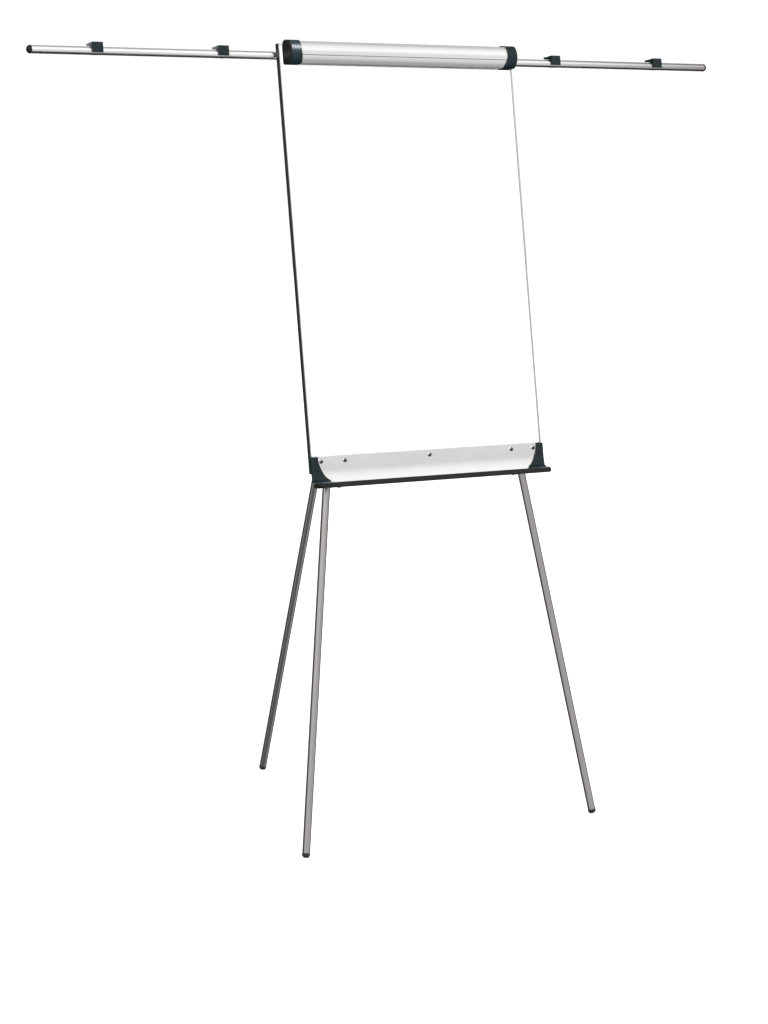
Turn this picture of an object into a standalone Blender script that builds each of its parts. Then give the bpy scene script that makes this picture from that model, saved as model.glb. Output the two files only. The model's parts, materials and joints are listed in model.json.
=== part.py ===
"""Flipchart easel: a white dry-wipe board on three telescoping legs, with a clamp bar, pen tray and two
pull-out arms that each carry two spring clips. Metres, +Z up, the front of the board facing -Y."""

import math

import bmesh
import bpy
from mathutils import Matrix, Vector

# Clearance between pieces that touch.
GAP = 0.0003

# Board and its edge channels. The board frame has its origin at the middle of the board's lower front
# edge: x to the right, y backwards through the board, z up its face.
BOARD_WIDTH = 0.680
BOARD_HEIGHT = 1.024
BOARD_THICK = 0.0108
BOARD_BASE_Z = 0.8947
BOARD_TILT = math.radians(8.2)
EDGE_WALL = 0.0014
EDGE_LIP = 0.0010
EDGE_COVER = 0.0045
SHEET_THICK = 0.0006

# Pen tray, bent from one aluminium section, with a dark lip and moulded ends.
TRAY_TOP = 0.0395
TRAY_BOTTOM = -0.0355
TRAY_DEPTH = 0.049
TRAY_WALL = 0.0022
TRAY_END = 0.3275
TRAY_BEND_ANGLE = math.radians(14)
TRAY_BEND_RADIUS = 0.110
TRAY_COVE_RADIUS = 0.014
LIP_TOP = -0.0230
LIP_THICK = 0.0034
CAP_OUTER = 0.341
CAP_INNER = 0.294
CAP_CORNER_RADIUS = 0.025
CAP_SKIN = 0.0023
SCREW_X = (-0.312, -0.245, 0.0, 0.245, 0.312)
SCREW_Z = 0.028
PEG_X = (-0.190, 0.190)
PEG_Z = 0.9935
SHANK_RADIUS = 0.0018
SHANK_END = 0.0082

# Clamp bar, hinged on a rod above the board's top edge.
HINGE_Y = 0.0040
HINGE_Z = BOARD_HEIGHT + 0.0042
ROD_RADIUS = 0.0017
KNUCKLE_WALL = 0.0015
KNUCKLE_RADIUS = 0.00275
CLAMP_WALL = 0.0018
CLAMP_HALF = 0.318
CLAMP_BOTTOM = 0.9752
CLAMP_FRONT = ((-0.0341, 1.0210), (-0.0404, 1.0010), (-0.0278, 0.9772))
CLAMP_CAP_OUTER = 0.3315
CLAMP_CAP_WALL = 0.0019
CLAMP_DRAWN_FROM = (0, -HINGE_Y, -HINGE_Z)
LUG_X = (0.286, 0.298)

# Arms: tubes that slide in full-width guides behind the board, one guide behind the other.
ARM_RADIUS = 0.0096
ARM_WALL = 0.0012
GUIDE_OUTER = 0.0109
GUIDE_INNER = 0.00995
GUIDE_HALF = 0.306
PLUG_LENGTH = 0.0095
ARMS = {
    "left": {"side": -1, "y": 0.0220, "z": 0.9986, "tip": 0.989, "root": 0.245, "clips": (0.4827, 0.8147)},
    "right": {"side": 1, "y": 0.0460, "z": 1.0012, "tip": 1.007, "root": 0.262, "clips": (0.5063, 0.8363)},
}

# Legs. The front legs splay in a plane behind the board and the rear leg hangs from a bracket.
LEG_RADIUS = 0.0095
LEG_WALL = 0.0012
LEG_GUIDE_OUTER = 0.0108
LEG_GUIDE_INNER = 0.00985
LEG_Y = 0.0220
LEG_X = 0.2827
LEG_SPLAY = math.radians(9.0)
LEG_GUIDE_TOP = 0.982
LEG_GUIDE_BOTTOM = -0.030
LEG_OVERLAP = 0.100
SADDLE_HEIGHT = 0.930
PIVOT_Y = 0.058
PIVOT_Z = 0.930
REAR_ANGLE = math.radians(18.72)
REAR_UPPER_TOP = -0.0243
REAR_UPPER_BOTTOM = -0.955
REAR_OVERLAP = 0.110
FOOT_RADIUS = 0.0100
FOOT_PLUG = 0.0140

# The row's origin is midway between the front and the rear feet, on the floor.
ORIGIN_Y = 0.3472

MATERIALS = {
    "white_enamel": ((0.93, 0.94, 0.94), 0.12, 0.0),
    "board_core": ((0.42, 0.40, 0.37), 0.85, 0.0),
    "aluminium": ((0.78, 0.78, 0.77), 0.32, 1.0),
    "tube_metal": ((0.72, 0.72, 0.71), 0.28, 1.0),
    "dark_plastic": ((0.025, 0.034, 0.040), 0.38, 0.0),
    "dark_rubber": ((0.018, 0.018, 0.018), 0.75, 0.0),
    "dark_screw": ((0.030, 0.030, 0.032), 0.25, 0.6),
    "steel": ((0.52, 0.53, 0.55), 0.35, 1.0),
    "painted_bracket": ((0.050, 0.054, 0.058), 0.45, 0.1),
}


# ---------------------------------------------------------------- tools


def clear_scene():
    for obj in list(bpy.data.objects):
        bpy.data.objects.remove(obj, do_unlink=True)


def material(name):
    found = bpy.data.materials.get(name)
    if found:
        return found
    colour, roughness, metallic = MATERIALS[name]
    made = bpy.data.materials.new(name)
    made.use_nodes = True
    shader = made.node_tree.nodes["Principled BSDF"]
    shader.inputs["Base Color"].default_value = (*colour, 1.0)
    shader.inputs["Roughness"].default_value = roughness
    shader.inputs["Metallic"].default_value = metallic
    return made


def empty(name, parent=None, location=(0, 0, 0), rotation=(0, 0, 0)):
    obj = bpy.data.objects.new(name, None)
    bpy.context.scene.collection.objects.link(obj)
    obj.parent = parent
    obj.location = location
    obj.rotation_euler = rotation
    return obj


def solid(name, bm, parent, location=(0, 0, 0), finish="dark_plastic"):
    """Turns a bmesh, drawn about its own origin, into a named piece."""
    bmesh.ops.recalc_face_normals(bm, faces=bm.faces)
    mesh = bpy.data.meshes.new(name)
    bm.to_mesh(mesh)
    bm.free()
    mesh.shade_smooth()
    mesh.set_sharp_from_angle(angle=math.radians(32))
    mesh.materials.append(material(finish))
    obj = bpy.data.objects.new(name, mesh)
    bpy.context.scene.collection.objects.link(obj)
    obj.parent = parent
    obj.location = location
    return obj


def combine(target, operation, bm, name):
    """Adds, removes or keeps the shape bm, drawn in the target's own space, with a Boolean."""
    helper = solid(f"{target.name}_{name}", bm, target)
    helper.hide_render = True
    helper.display_type = "WIRE"
    modifier = target.modifiers.new(name, "BOOLEAN")
    modifier.operation = operation
    modifier.solver = "EXACT"
    modifier.object = helper


def joined(*meshes):
    """One bmesh that holds several separate shapes."""
    whole = bmesh.new()
    for part in meshes:
        data = bpy.data.meshes.new("piece")
        part.to_mesh(data)
        part.free()
        whole.from_mesh(data)
        bpy.data.meshes.remove(data)
    return whole


def moved(bm, matrix):
    bmesh.ops.transform(bm, matrix=matrix, verts=bm.verts)
    return bm


def box(low, high):
    bm = bmesh.new()
    size = Vector(high) - Vector(low)
    middle = (Vector(high) + Vector(low)) / 2
    bmesh.ops.create_cube(bm, size=1.0, matrix=Matrix.Translation(middle) @ Matrix.Diagonal((*size, 1.0)))
    return bm


def prism(outline, start, end, axis):
    """Extrudes a flat outline along X (outline in y, z), Y (outline in x, z) or Z (outline in x, y)."""
    place = {
        "X": lambda a, b, t: (t, a, b),
        "Y": lambda a, b, t: (a, t, b),
        "Z": lambda a, b, t: (a, b, t),
    }[axis]
    bm = bmesh.new()
    near = [bm.verts.new(place(a, b, start)) for a, b in outline]
    far = [bm.verts.new(place(a, b, end)) for a, b in outline]
    bm.faces.new(near)
    bm.faces.new(far[::-1])
    for i in range(len(outline)):
        j = (i + 1) % len(outline)
        bm.faces.new((near[j], near[i], far[i], far[j]))
    return bm


def turned(profile, closed=False, steps=24):
    """Turns a profile of (radius, z) points about Z. A closed profile makes a ring or a tube."""
    bm = bmesh.new()
    rows = []
    for radius, z in profile:
        count = steps if radius else 1
        turn = 2 * math.pi / steps
        ring = [(radius * math.cos(turn * i), radius * math.sin(turn * i), z) for i in range(count)]
        rows.append([bm.verts.new(point) for point in ring])
    for lower, upper in zip(rows, rows[1:] + rows[:1] if closed else rows[1:]):
        for i in range(steps):
            j = (i + 1) % steps
            corners = [lower[i % len(lower)], lower[j % len(lower)], upper[j % len(upper)], upper[i % len(upper)]]
            bm.faces.new(list(dict.fromkeys(corners)))
    if not closed:
        for row in (rows[0], rows[-1]):
            if len(row) > 1:
                bm.faces.new(row)
    return bm


def tube(outer, inner, low, high, steps=24):
    return turned([(inner, low), (outer, low), (outer, high), (inner, high)], closed=True, steps=steps)


def rod(radius, low, high, steps=16):
    return turned([(radius, low), (radius, high)], steps=steps)


def along_x(bm, y=0.0, z=0.0):
    """Lays a shape that was drawn along Z onto the X axis, at (y, z)."""
    return moved(bm, Matrix.Translation((0, y, z)) @ Matrix.Rotation(math.radians(90), 4, "Y"))


def along_y(bm, x=0.0, z=0.0):
    """Lays a shape that was drawn along Z onto the Y axis, its top facing -Y, at (x, z)."""
    return moved(bm, Matrix.Translation((x, 0, z)) @ Matrix.Rotation(math.radians(90), 4, "X"))


def arc(centre, radius, start, end, steps):
    """Points on a circle, with both ends, from start to end in degrees."""
    angles = [math.radians(start + (end - start) * i / steps) for i in range(steps + 1)]
    return [(centre[0] + radius * math.cos(a), centre[1] + radius * math.sin(a)) for a in angles]


def arc_through(first, middle, last, steps, grow=0.0):
    """Points from first to last on the circle through three points, its radius made larger by grow."""
    (ax, ay), (bx, by), (cx, cy) = first, middle, last
    double = 2 * (ax * (by - cy) + bx * (cy - ay) + cx * (ay - by))
    a2, b2, c2 = ax * ax + ay * ay, bx * bx + by * by, cx * cx + cy * cy
    centre_x = (a2 * (by - cy) + b2 * (cy - ay) + c2 * (ay - by)) / double
    centre_y = (a2 * (cx - bx) + b2 * (ax - cx) + c2 * (bx - ax)) / double
    radius = math.hypot(ax - centre_x, ay - centre_y) + grow
    start = math.degrees(math.atan2(ay - centre_y, ax - centre_x)) % 360
    end = math.degrees(math.atan2(cy - centre_y, cx - centre_x)) % 360
    return arc((centre_x, centre_y), radius, start, end, steps)


def offset(points, distance, closed=False):
    """Moves a line of points sideways, to its left for a positive distance, with mitred corners."""
    count = len(points)
    result = []
    for i, point in enumerate(points):
        here = Vector(point)
        before = here - Vector(points[i - 1]) if i or closed else None
        after = Vector(points[(i + 1) % count]) - here if i < count - 1 or closed else None
        before = (before or after).normalized()
        after = (after or before).normalized()
        normal = (before + after).normalized()
        side = Vector((-normal.y, normal.x))
        result.append(tuple(here + side * distance / max(normal.dot(before), 0.35)))
    return result


def thick(path, wall):
    """The outline of a bent strip with this middle line and wall."""
    return offset(path, wall / 2) + offset(path, -wall / 2)[::-1]


def rounded_rectangle(low, high, radius, steps=4):
    (x0, y0), (x1, y1) = low, high
    corners = ((x1 - radius, y1 - radius, 0), (x0 + radius, y1 - radius, 90),
               (x0 + radius, y0 + radius, 180), (x1 - radius, y0 + radius, 270))
    return [point for x, y, turn in corners for point in arc((x, y), radius, turn, turn + 90, steps)]


# ---------------------------------------------------------------- board


def screw_holes():
    """Clearance holes for the tray screws and the pad pegs, as one cutter."""
    places = [(x, SCREW_Z) for x in SCREW_X] + [(x, PEG_Z) for x in PEG_X]
    return joined(*(along_y(rod(SHANK_RADIUS + GAP, -SHANK_END - GAP, 0.008, 10), x, z) for x, z in places))


def edge_channels(board):
    """Four channels that wrap the board's edges, the upright ones over the full height."""
    half, cover, far = BOARD_WIDTH / 2, EDGE_COVER, BOARD_THICK
    section = [(0, 0), (cover, 0), (cover, EDGE_LIP), (EDGE_WALL, EDGE_LIP),
               (EDGE_WALL, far - EDGE_LIP), (cover, far - EDGE_LIP), (cover, far), (0, far)]
    left = [(a - half, b) for a, b in section]
    right = [(half - a, b) for a, b in section]
    bottom = [(b, a) for a, b in section]
    top = [(b, BOARD_HEIGHT - a) for a, b in section]
    reach = half - cover - GAP
    solid("frame_edge_left", prism(left, 0, BOARD_HEIGHT, "Z"), board, finish="aluminium")
    solid("frame_edge_right", prism(right, 0, BOARD_HEIGHT, "Z"), board, finish="aluminium")
    solid("frame_edge_bottom", prism(bottom, -reach, reach, "X"), board, finish="aluminium")
    solid("frame_edge_top", prism(top, -reach, reach, "X"), board, finish="aluminium")


def panel(board):
    inset = EDGE_WALL + GAP
    x, low, high = BOARD_WIDTH / 2 - inset, inset, BOARD_HEIGHT - inset
    sheet_front = EDGE_LIP + GAP
    sheet_back = sheet_front + SHEET_THICK
    core_back = BOARD_THICK - EDGE_LIP - GAP
    sheet = solid("writing_sheet", box((-x, sheet_front, low), (x, sheet_back, high)), board,
                  finish="white_enamel")
    core = solid("panel_core", box((-x, sheet_back + GAP, low), (x, core_back, high)), board,
                 finish="board_core")
    for piece in (sheet, core):
        combine(piece, "DIFFERENCE", screw_holes(), "screw_holes")


def pad_pegs(board):
    """Two pegs that a pad's punched holes hang on, hidden inside the clamp bar."""
    front = EDGE_LIP
    profile = [(SHANK_RADIUS, -SHANK_END), (SHANK_RADIUS, -front), (0.0065, -front), (0.0065, 0.0010),
               (0.0035, 0.0025), (0.0035, 0.0130), (0.0045, 0.0140), (0.0045, 0.0155), (0.0030, 0.0165)]
    for side, x in zip(("left", "right"), PEG_X):
        solid(f"pad_peg_{side}", along_y(turned(profile, steps=12), x, PEG_Z), board, finish="steel")


# ---------------------------------------------------------------- pen tray


def tray_face():
    """Middle line of the tray's section from its top edge to the start of the flat shelf, in (y, z)."""
    shelf = TRAY_BOTTOM + TRAY_WALL / 2
    back = -GAP - TRAY_WALL / 2
    turn = math.degrees(TRAY_BEND_ANGLE)
    drop = (TRAY_BEND_RADIUS - TRAY_COVE_RADIUS) * math.sin(TRAY_BEND_ANGLE) + TRAY_COVE_RADIUS
    bend_centre = (back - TRAY_BEND_RADIUS, shelf + drop)
    bend = arc(bend_centre, TRAY_BEND_RADIUS, 0, -turn, 4)
    end = Vector(bend[-1])
    inward = Vector((-math.cos(TRAY_BEND_ANGLE), math.sin(TRAY_BEND_ANGLE)))
    cove_centre = end + inward * TRAY_COVE_RADIUS
    return [(back, TRAY_TOP)] + bend + arc(cove_centre, TRAY_COVE_RADIUS, -turn, -90, 6)[1:]


def tray_profile(board):
    shelf = TRAY_BOTTOM + TRAY_WALL / 2
    front = -TRAY_DEPTH + LIP_THICK + GAP + TRAY_WALL / 2
    path = tray_face() + [(front, shelf), (front, LIP_TOP - 0.0035)]
    tray = solid("tray_profile", prism(thick(path, TRAY_WALL), -TRAY_END, TRAY_END, "X"), board,
                 finish="aluminium")
    combine(tray, "DIFFERENCE", screw_holes(), "screw_holes")


def tray_lip(board):
    section = rounded_rectangle((-TRAY_DEPTH, TRAY_BOTTOM), (-TRAY_DEPTH + LIP_THICK, LIP_TOP), 0.0015, 3)
    reach = CAP_INNER - GAP
    solid("tray_lip", prism(section, -reach, reach, "X"), board)


def tray_end_cap(board, name, side):
    """A moulded end: a cheek over the plate, a closed top over the shelf's end and an outer wall."""
    face = offset(tray_face()[:6], -TRAY_WALL / 2 - GAP)
    skin = offset(tray_face()[:6], -TRAY_WALL / 2 - GAP - CAP_SKIN)
    top = TRAY_TOP + 0.0005
    slope_back, slope_front = -0.0160, LIP_TOP
    outline = [(-TRAY_DEPTH + 0.002, TRAY_BOTTOM), (-TRAY_DEPTH, TRAY_BOTTOM + 0.002),
               (-TRAY_DEPTH, slope_front - 0.0015), (-TRAY_DEPTH + 0.0015, slope_front), (-0.0150, -0.0212)]
    outline += [(skin[4][0], slope_back)] + [point for point in skin[3:0:-1]] + [(skin[0][0], top), (-GAP, top)]
    outline += offset(tray_face(), TRAY_WALL / 2)[1:]
    hollow = [(0.005, TRAY_BOTTOM - 0.005), (-TRAY_DEPTH + LIP_THICK, TRAY_BOTTOM - 0.005),
              (-TRAY_DEPTH + LIP_THICK, slope_front - 0.0024), (-0.0160, -0.0237),
              (face[4][0] - 0.0015, slope_back - 0.0026)]
    hollow += [point for point in face[3:0:-1]] + [(face[0][0], top + 0.005), (0.005, top + 0.005)]
    shape = solid(name, prism(outline, side * (CAP_OUTER + 0.001), side * CAP_INNER, "X"), board)

    curve = [(0.322, top), (0.3200, 0.0250), (0.3130, 0.0060), (0.3040, -0.0080), (CAP_INNER, slope_back)]
    front = [(side * x, z) for x, z in
             [(CAP_INNER - 0.001, TRAY_BOTTOM - 0.001), (CAP_OUTER, TRAY_BOTTOM - 0.001)]
             + arc((CAP_OUTER - 0.004, top - 0.004), 0.004, 0, 90, 4) + curve
             + [(CAP_INNER - 0.001, slope_back - 0.0002)]]
    combine(shape, "INTERSECT", prism(front, -0.060, 0.010, "Y"), "front_outline")
    plan_x, plan_y = CAP_OUTER + GAP, -TRAY_DEPTH - GAP
    corner = arc((plan_x - CAP_CORNER_RADIUS, plan_y + CAP_CORNER_RADIUS), CAP_CORNER_RADIUS, -90, 0, 7)
    plan = [(side * x, y) for x, y in
            [(CAP_INNER - 0.002, 0.002), (CAP_INNER - 0.002, plan_y)] + corner + [(plan_x, 0.002)]]
    combine(shape, "INTERSECT", prism(plan, -0.050, 0.050, "Z"), "plan_outline")
    combine(shape, "DIFFERENCE", prism(hollow, side * (TRAY_END + GAP), side * 0.280, "X"), "hollow")


def tray_screws(board):
    """Domed screws through the tray's plate into the board."""
    face = GAP + TRAY_WALL + GAP
    dome = [(0.0053 * math.cos(a), face + 0.0006 + 0.0030 * math.sin(a))
            for a in (math.radians(22.5 * i) for i in range(4))]
    profile = [(SHANK_RADIUS, -SHANK_END), (SHANK_RADIUS, face), (0.0053, face), *dome, (0, face + 0.0036)]
    for number, x in enumerate(SCREW_X, 1):
        solid(f"tray_screw_{number}", along_y(turned(profile, steps=16), x, SCREW_Z), board,
              finish="dark_screw")


# ---------------------------------------------------------------- clamp


def clamp_path():
    """Middle line of the clamp bar's section, from its knuckle round to the lip behind its lower edge."""
    knuckle = arc((HINGE_Y, HINGE_Z), KNUCKLE_RADIUS + 0.00015, 240, 450, 10)
    shoulder = [(-0.0295, 1.0242), (-0.0325, 1.0232)]
    return knuckle + shoulder + arc_through(*CLAMP_FRONT, 10) + [(-0.0252, CLAMP_BOTTOM),
                                                                 (-0.0055, CLAMP_BOTTOM),
                                                                 (-0.0055, CLAMP_BOTTOM + 0.0078)]


def clamp_bar(clamp):
    bar = solid("clamp_bar", prism(thick(clamp_path(), CLAMP_WALL), -CLAMP_HALF, CLAMP_HALF, "X"), clamp,
                CLAMP_DRAWN_FROM, "aluminium")
    start, end = LUG_X[0] - 0.001, CLAMP_HALF + 0.002
    notches = [box((x, -0.014, 1.015), (x + end - start, 0.012, 1.040)) for x in (-end, start)]
    combine(bar, "DIFFERENCE", joined(*notches), "lug_notches")


def clamp_caps(clamp):
    """Moulded cups over the bar's ends, their mouths cut on a slant."""
    grow = CLAMP_WALL / 2 + GAP + CLAMP_CAP_WALL
    bottom = CLAMP_BOTTOM - grow
    front = arc_through(*CLAMP_FRONT, 10, grow)
    outer = [(-0.0120, 1.0312), (-0.0322, 1.0272), (-0.0358, 1.0248)] + front[1:] + [
        (-0.0262, bottom), (-0.0010, bottom), (-0.0010, 1.0160), (-0.0030, 1.0235), (-0.0070, 1.0285)]
    low = Vector((min(y for y, _ in outer), min(z for _, z in outer)))
    high = Vector((max(y for y, _ in outer), max(z for _, z in outer)))
    middle, half = (low + high) / 2, (high - low) / 2
    inner = offset(outer, CLAMP_CAP_WALL, closed=True)
    for name, side in (("left", -1), ("right", 1)):
        bm = bmesh.new()
        loops = []
        for angle in (0, 30, 60, 90):
            inset = 0.0050 * (1 - math.sin(math.radians(angle)))
            x = CLAMP_CAP_OUTER - 0.0050 * (1 - math.cos(math.radians(angle)))
            loops.append([(x, middle.x + (y - middle.x) * (1 - inset / half.x),
                           middle.y + (z - middle.y) * (1 - inset / half.y)) for y, z in outer])
        mouth = [0.300 - 0.007 * min(max((0.995 - z) / 0.030, 0), 1) for _, z in outer]
        loops.append([(x, y, z) for x, (y, z) in zip(mouth, outer)])
        loops.append([(x, y, z) for x, (y, z) in zip(mouth, inner)])
        loops.append([(CLAMP_HALF + GAP, y, z) for y, z in inner])
        rings = [[bm.verts.new((side * x, y, z)) for x, y, z in loop] for loop in loops]
        bm.faces.new(rings[0])
        bm.faces.new(rings[-1])
        for ring, following in zip(rings, rings[1:]):
            for i in range(len(ring)):
                j = (i + 1) % len(ring)
                bm.faces.new((ring[i], ring[j], following[j], following[i]))
        solid(f"clamp_cap_{name}", bm, clamp, CLAMP_DRAWN_FROM)


def clamp_grip(clamp):
    section = rounded_rectangle((-0.0055 + CLAMP_WALL / 2 + GAP, CLAMP_BOTTOM - 0.0007),
                                (EDGE_LIP, CLAMP_BOTTOM + 0.0083), 0.0008, 2)
    solid("clamp_grip_strip", prism(section, -0.2920, 0.2920, "X"), clamp, CLAMP_DRAWN_FROM, "dark_rubber")


def clamp_hinge(board):
    """The rod, and the two hooked lugs behind the board's top edge that hold it."""
    solid("clamp_hinge_rod", along_x(rod(ROD_RADIUS, -0.300, 0.300, 12), HINGE_Y, HINGE_Z), board,
          finish="steel")
    hook = arc((HINGE_Y, HINGE_Z), KNUCKLE_RADIUS, 300, 90, 10)
    behind = BOARD_THICK + GAP + KNUCKLE_WALL / 2
    top = HINGE_Z + KNUCKLE_RADIUS
    section = thick(hook + [(behind, top), (behind, 1.0080)], KNUCKLE_WALL)
    for name, side in (("left", -1), ("right", 1)):
        solid(f"hinge_lug_{name}", prism(section, side * LUG_X[0], side * LUG_X[1], "X"), board,
              finish="steel")


# ---------------------------------------------------------------- arms and clips


def arm_guides(board):
    """Full-width guide tubes and the two blocks that hold both of them to the board's back."""
    for name, arm in ARMS.items():
        shape = along_x(tube(GUIDE_OUTER, GUIDE_INNER, -GUIDE_HALF, GUIDE_HALF), arm["y"], arm["z"])
        solid(f"arm_guide_{name}", shape, board, finish="steel")
    for name, side in (("left", -1), ("right", 1)):
        section = rounded_rectangle((BOARD_THICK + GAP, 0.9845), (0.0600, 1.0170), 0.004)
        block = solid(f"arm_block_{name}", prism(section, side * 0.262, side * 0.280, "X"), board)
        for number, arm in enumerate(ARMS.values(), 1):
            bore = along_x(rod(GUIDE_OUTER + GAP, -0.35, 0.35, 24), arm["y"], arm["z"])
            combine(block, "DIFFERENCE", bore, f"bore_{number}")


def arm_pieces(arm_frame, name, arm):
    """An arm's tube and its domed tip, in a frame on the tube's axis at the middle of the board."""
    side, seam = arm["side"], arm["tip"] - PLUG_LENGTH
    low, high = sorted((side * arm["root"], side * seam))
    solid(f"arm_tube_{name}", along_x(tube(ARM_RADIUS, ARM_RADIUS - ARM_WALL, low, high)), arm_frame,
          finish="tube_metal")
    stem, cap = ARM_RADIUS - ARM_WALL - GAP, ARM_RADIUS + 0.0003
    flat = 0.0010
    rise = PLUG_LENGTH - flat
    dome = [(cap * math.cos(a), flat + rise * math.sin(a)) for a in (math.radians(18 * i) for i in range(5))]
    plug = turned([(stem, -0.015), (stem, GAP), (cap, GAP), *dome, (0, PLUG_LENGTH)])
    turn = Matrix.Rotation(math.radians(90 * side), 4, "Y")
    solid(f"arm_tip_{name}", moved(plug, Matrix.Translation((side * seam, 0, 0)) @ turn), arm_frame)


def clip_pieces(clip_frame, name):
    """A spring clip: a saddle clasped on the tube, and a jaw with its press lever.

    The frame is on the tube's axis, and the jaw turns on the saddle's stub pins at PIN."""
    pin = Vector((0.0040, 0.0150))
    inner, outer, wide = ARM_RADIUS + GAP, 0.0122, 0.0098
    clasp = arc((0, 0), outer, -45, 118, 12) + arc((0, 0), inner, 118, -45, 12)
    saddle = solid(f"clip_saddle_{name}", prism(clasp, -wide, wide, "X"), clip_frame)
    ear = [(0.0008, 0.0110), (0.0072, 0.0085)] + arc(pin, 0.0026, -10, 190, 8)
    combine(saddle, "UNION", prism(ear, -0.0030, 0.0030, "X"), "ear")
    combine(saddle, "UNION", along_x(rod(0.0013, -0.0085, 0.0085, 12), *pin), "stub_pins")

    near, far = ARM_RADIUS + GAP, 0.0134
    jaw_frame = empty(f"clip_jaw_axis_{name}", clip_frame, (0, *pin))
    claw = ([(-far + 0.0004, 0.0189), (-far, 0.0180)] + arc((0, 0), far, 180, 204, 3)
            + arc((0, 0), near + 0.0003, 207, 150, 6)
            + [(-0.0066, 0.0128), (0.0098, 0.0128), (0.0295, 0.0162), (0.0305, 0.0178), (0.0295, 0.0217),
               (0.0100, 0.0196), (0.0070, 0.0189)])
    claw = [(y - pin.x, z - pin.y) for y, z in claw]
    jaw = solid(f"clip_jaw_{name}", prism(claw, -0.0137, 0.0137, "X"), jaw_frame)
    room = [(-0.0045, -0.006), (0.0045, -0.006), (0.0040, 0.0030), (-0.0040, 0.0030)]
    combine(jaw, "DIFFERENCE", prism(room, -0.0033, 0.0033, "X"), "ear_slot")
    combine(jaw, "DIFFERENCE", along_x(rod(0.0016, -0.0088, 0.0088, 12)), "pin_holes")
    sides = [prism([(s * 0.0160, 0.0015), (s * 0.0160, 0.050), (s * 0.0068, 0.050), (s * 0.0068, 0.0075)],
                   -0.010, 0.012, "Z") for s in (-1, 1)]
    combine(jaw, "DIFFERENCE", joined(*sides), "lever_waist")


def arms(board):
    for name, arm in ARMS.items():
        frame = empty(f"arm_axis_{name}", board, (0, arm["y"], arm["z"]))
        arm_pieces(frame, name, arm)
        for place, distance in zip(("inner", "outer"), arm["clips"]):
            clip = empty(f"clip_place_{name}_{place}", frame, (arm["side"] * distance, 0, 0))
            clip_pieces(clip, f"{name}_{place}")


# ---------------------------------------------------------------- legs


def foot(frame, name, distance):
    """A rubber plug in a leg's lower end. Its sole is cut flat where it stands on the floor."""
    stem = LEG_RADIUS - LEG_WALL - GAP
    round_off = 0.0070
    corner = arc((FOOT_RADIUS - round_off, round_off), round_off, -90, 0, 5)
    profile = [*corner, (FOOT_RADIUS, FOOT_PLUG - GAP), (stem, FOOT_PLUG - GAP), (stem, FOOT_PLUG + 0.020)]
    piece = solid(name, turned(profile), frame, (0, 0, -distance), "dark_rubber")
    bpy.context.view_layer.update()
    ground = moved(box((-0.05, -0.05, -0.05), (0.05, 0.05, 0.0)),
                   Matrix.Translation((piece.matrix_world.translation.x, piece.matrix_world.translation.y, 0)))
    combine(piece, "DIFFERENCE", moved(ground, piece.matrix_world.inverted()), "floor")


def collar(frame, name, bottom, ear_side=0):
    """A moulded lock collar on a guide's lower end, with ears for its lever behind the tube."""
    top = bottom + 0.030
    lip = 0.0037
    ring = turned([(LEG_RADIUS + GAP, bottom), (0.0138, bottom), (0.0142, bottom + 0.001), (0.0142, top),
                   (LEG_GUIDE_OUTER + GAP, top), (LEG_GUIDE_OUTER + GAP, bottom + lip),
                   (LEG_RADIUS + GAP, bottom + lip)], closed=True, steps=32)
    piece = solid(name, ring, frame)
    pin_y, pin_z = 0.0198, bottom + 0.015
    ear = [(0.0100, pin_z - 0.009)] + arc((pin_y, pin_z), 0.0042, -75, 75, 6) + [(0.0100, pin_z + 0.009)]
    for number, side in enumerate((-1, 1), 1):
        combine(piece, "UNION", prism(ear, side * 0.0066, side * 0.0094, "X"), f"ear_{number}")
    combine(piece, "DIFFERENCE", along_x(rod(0.0018, -0.02, 0.02, 12), pin_y, pin_z), "pin_hole")
    if ear_side:
        wing = [(ear_side * x, z) for x, z in
                rounded_rectangle((0.0112, bottom + 0.002), (0.0360, bottom + 0.056), 0.004)]
        combine(piece, "UNION", prism(wing, -0.0107, -0.0070, "Y"), "wing")


def lever(frame, name, bottom):
    """A cam lever that lies along the tube when locked and swings back to free it."""
    pin_y, pin_z = 0.0198, bottom + 0.015
    axis = empty(f"{name}_axis", frame, (0, pin_y, pin_z))
    handle = (arc((0, 0), 0.0048, 180, 330, 8)
              + [(0.0034, 0.0060), (0.0040, 0.0420), (0.0028, 0.0450), (-0.0012, 0.0445), (-0.0022, 0.0060)])
    piece = solid(name, prism(handle, -0.0062, 0.0062, "X"), axis)
    combine(piece, "UNION", along_x(rod(0.0015, -0.0092, 0.0092, 12)), "stub_pins")


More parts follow.
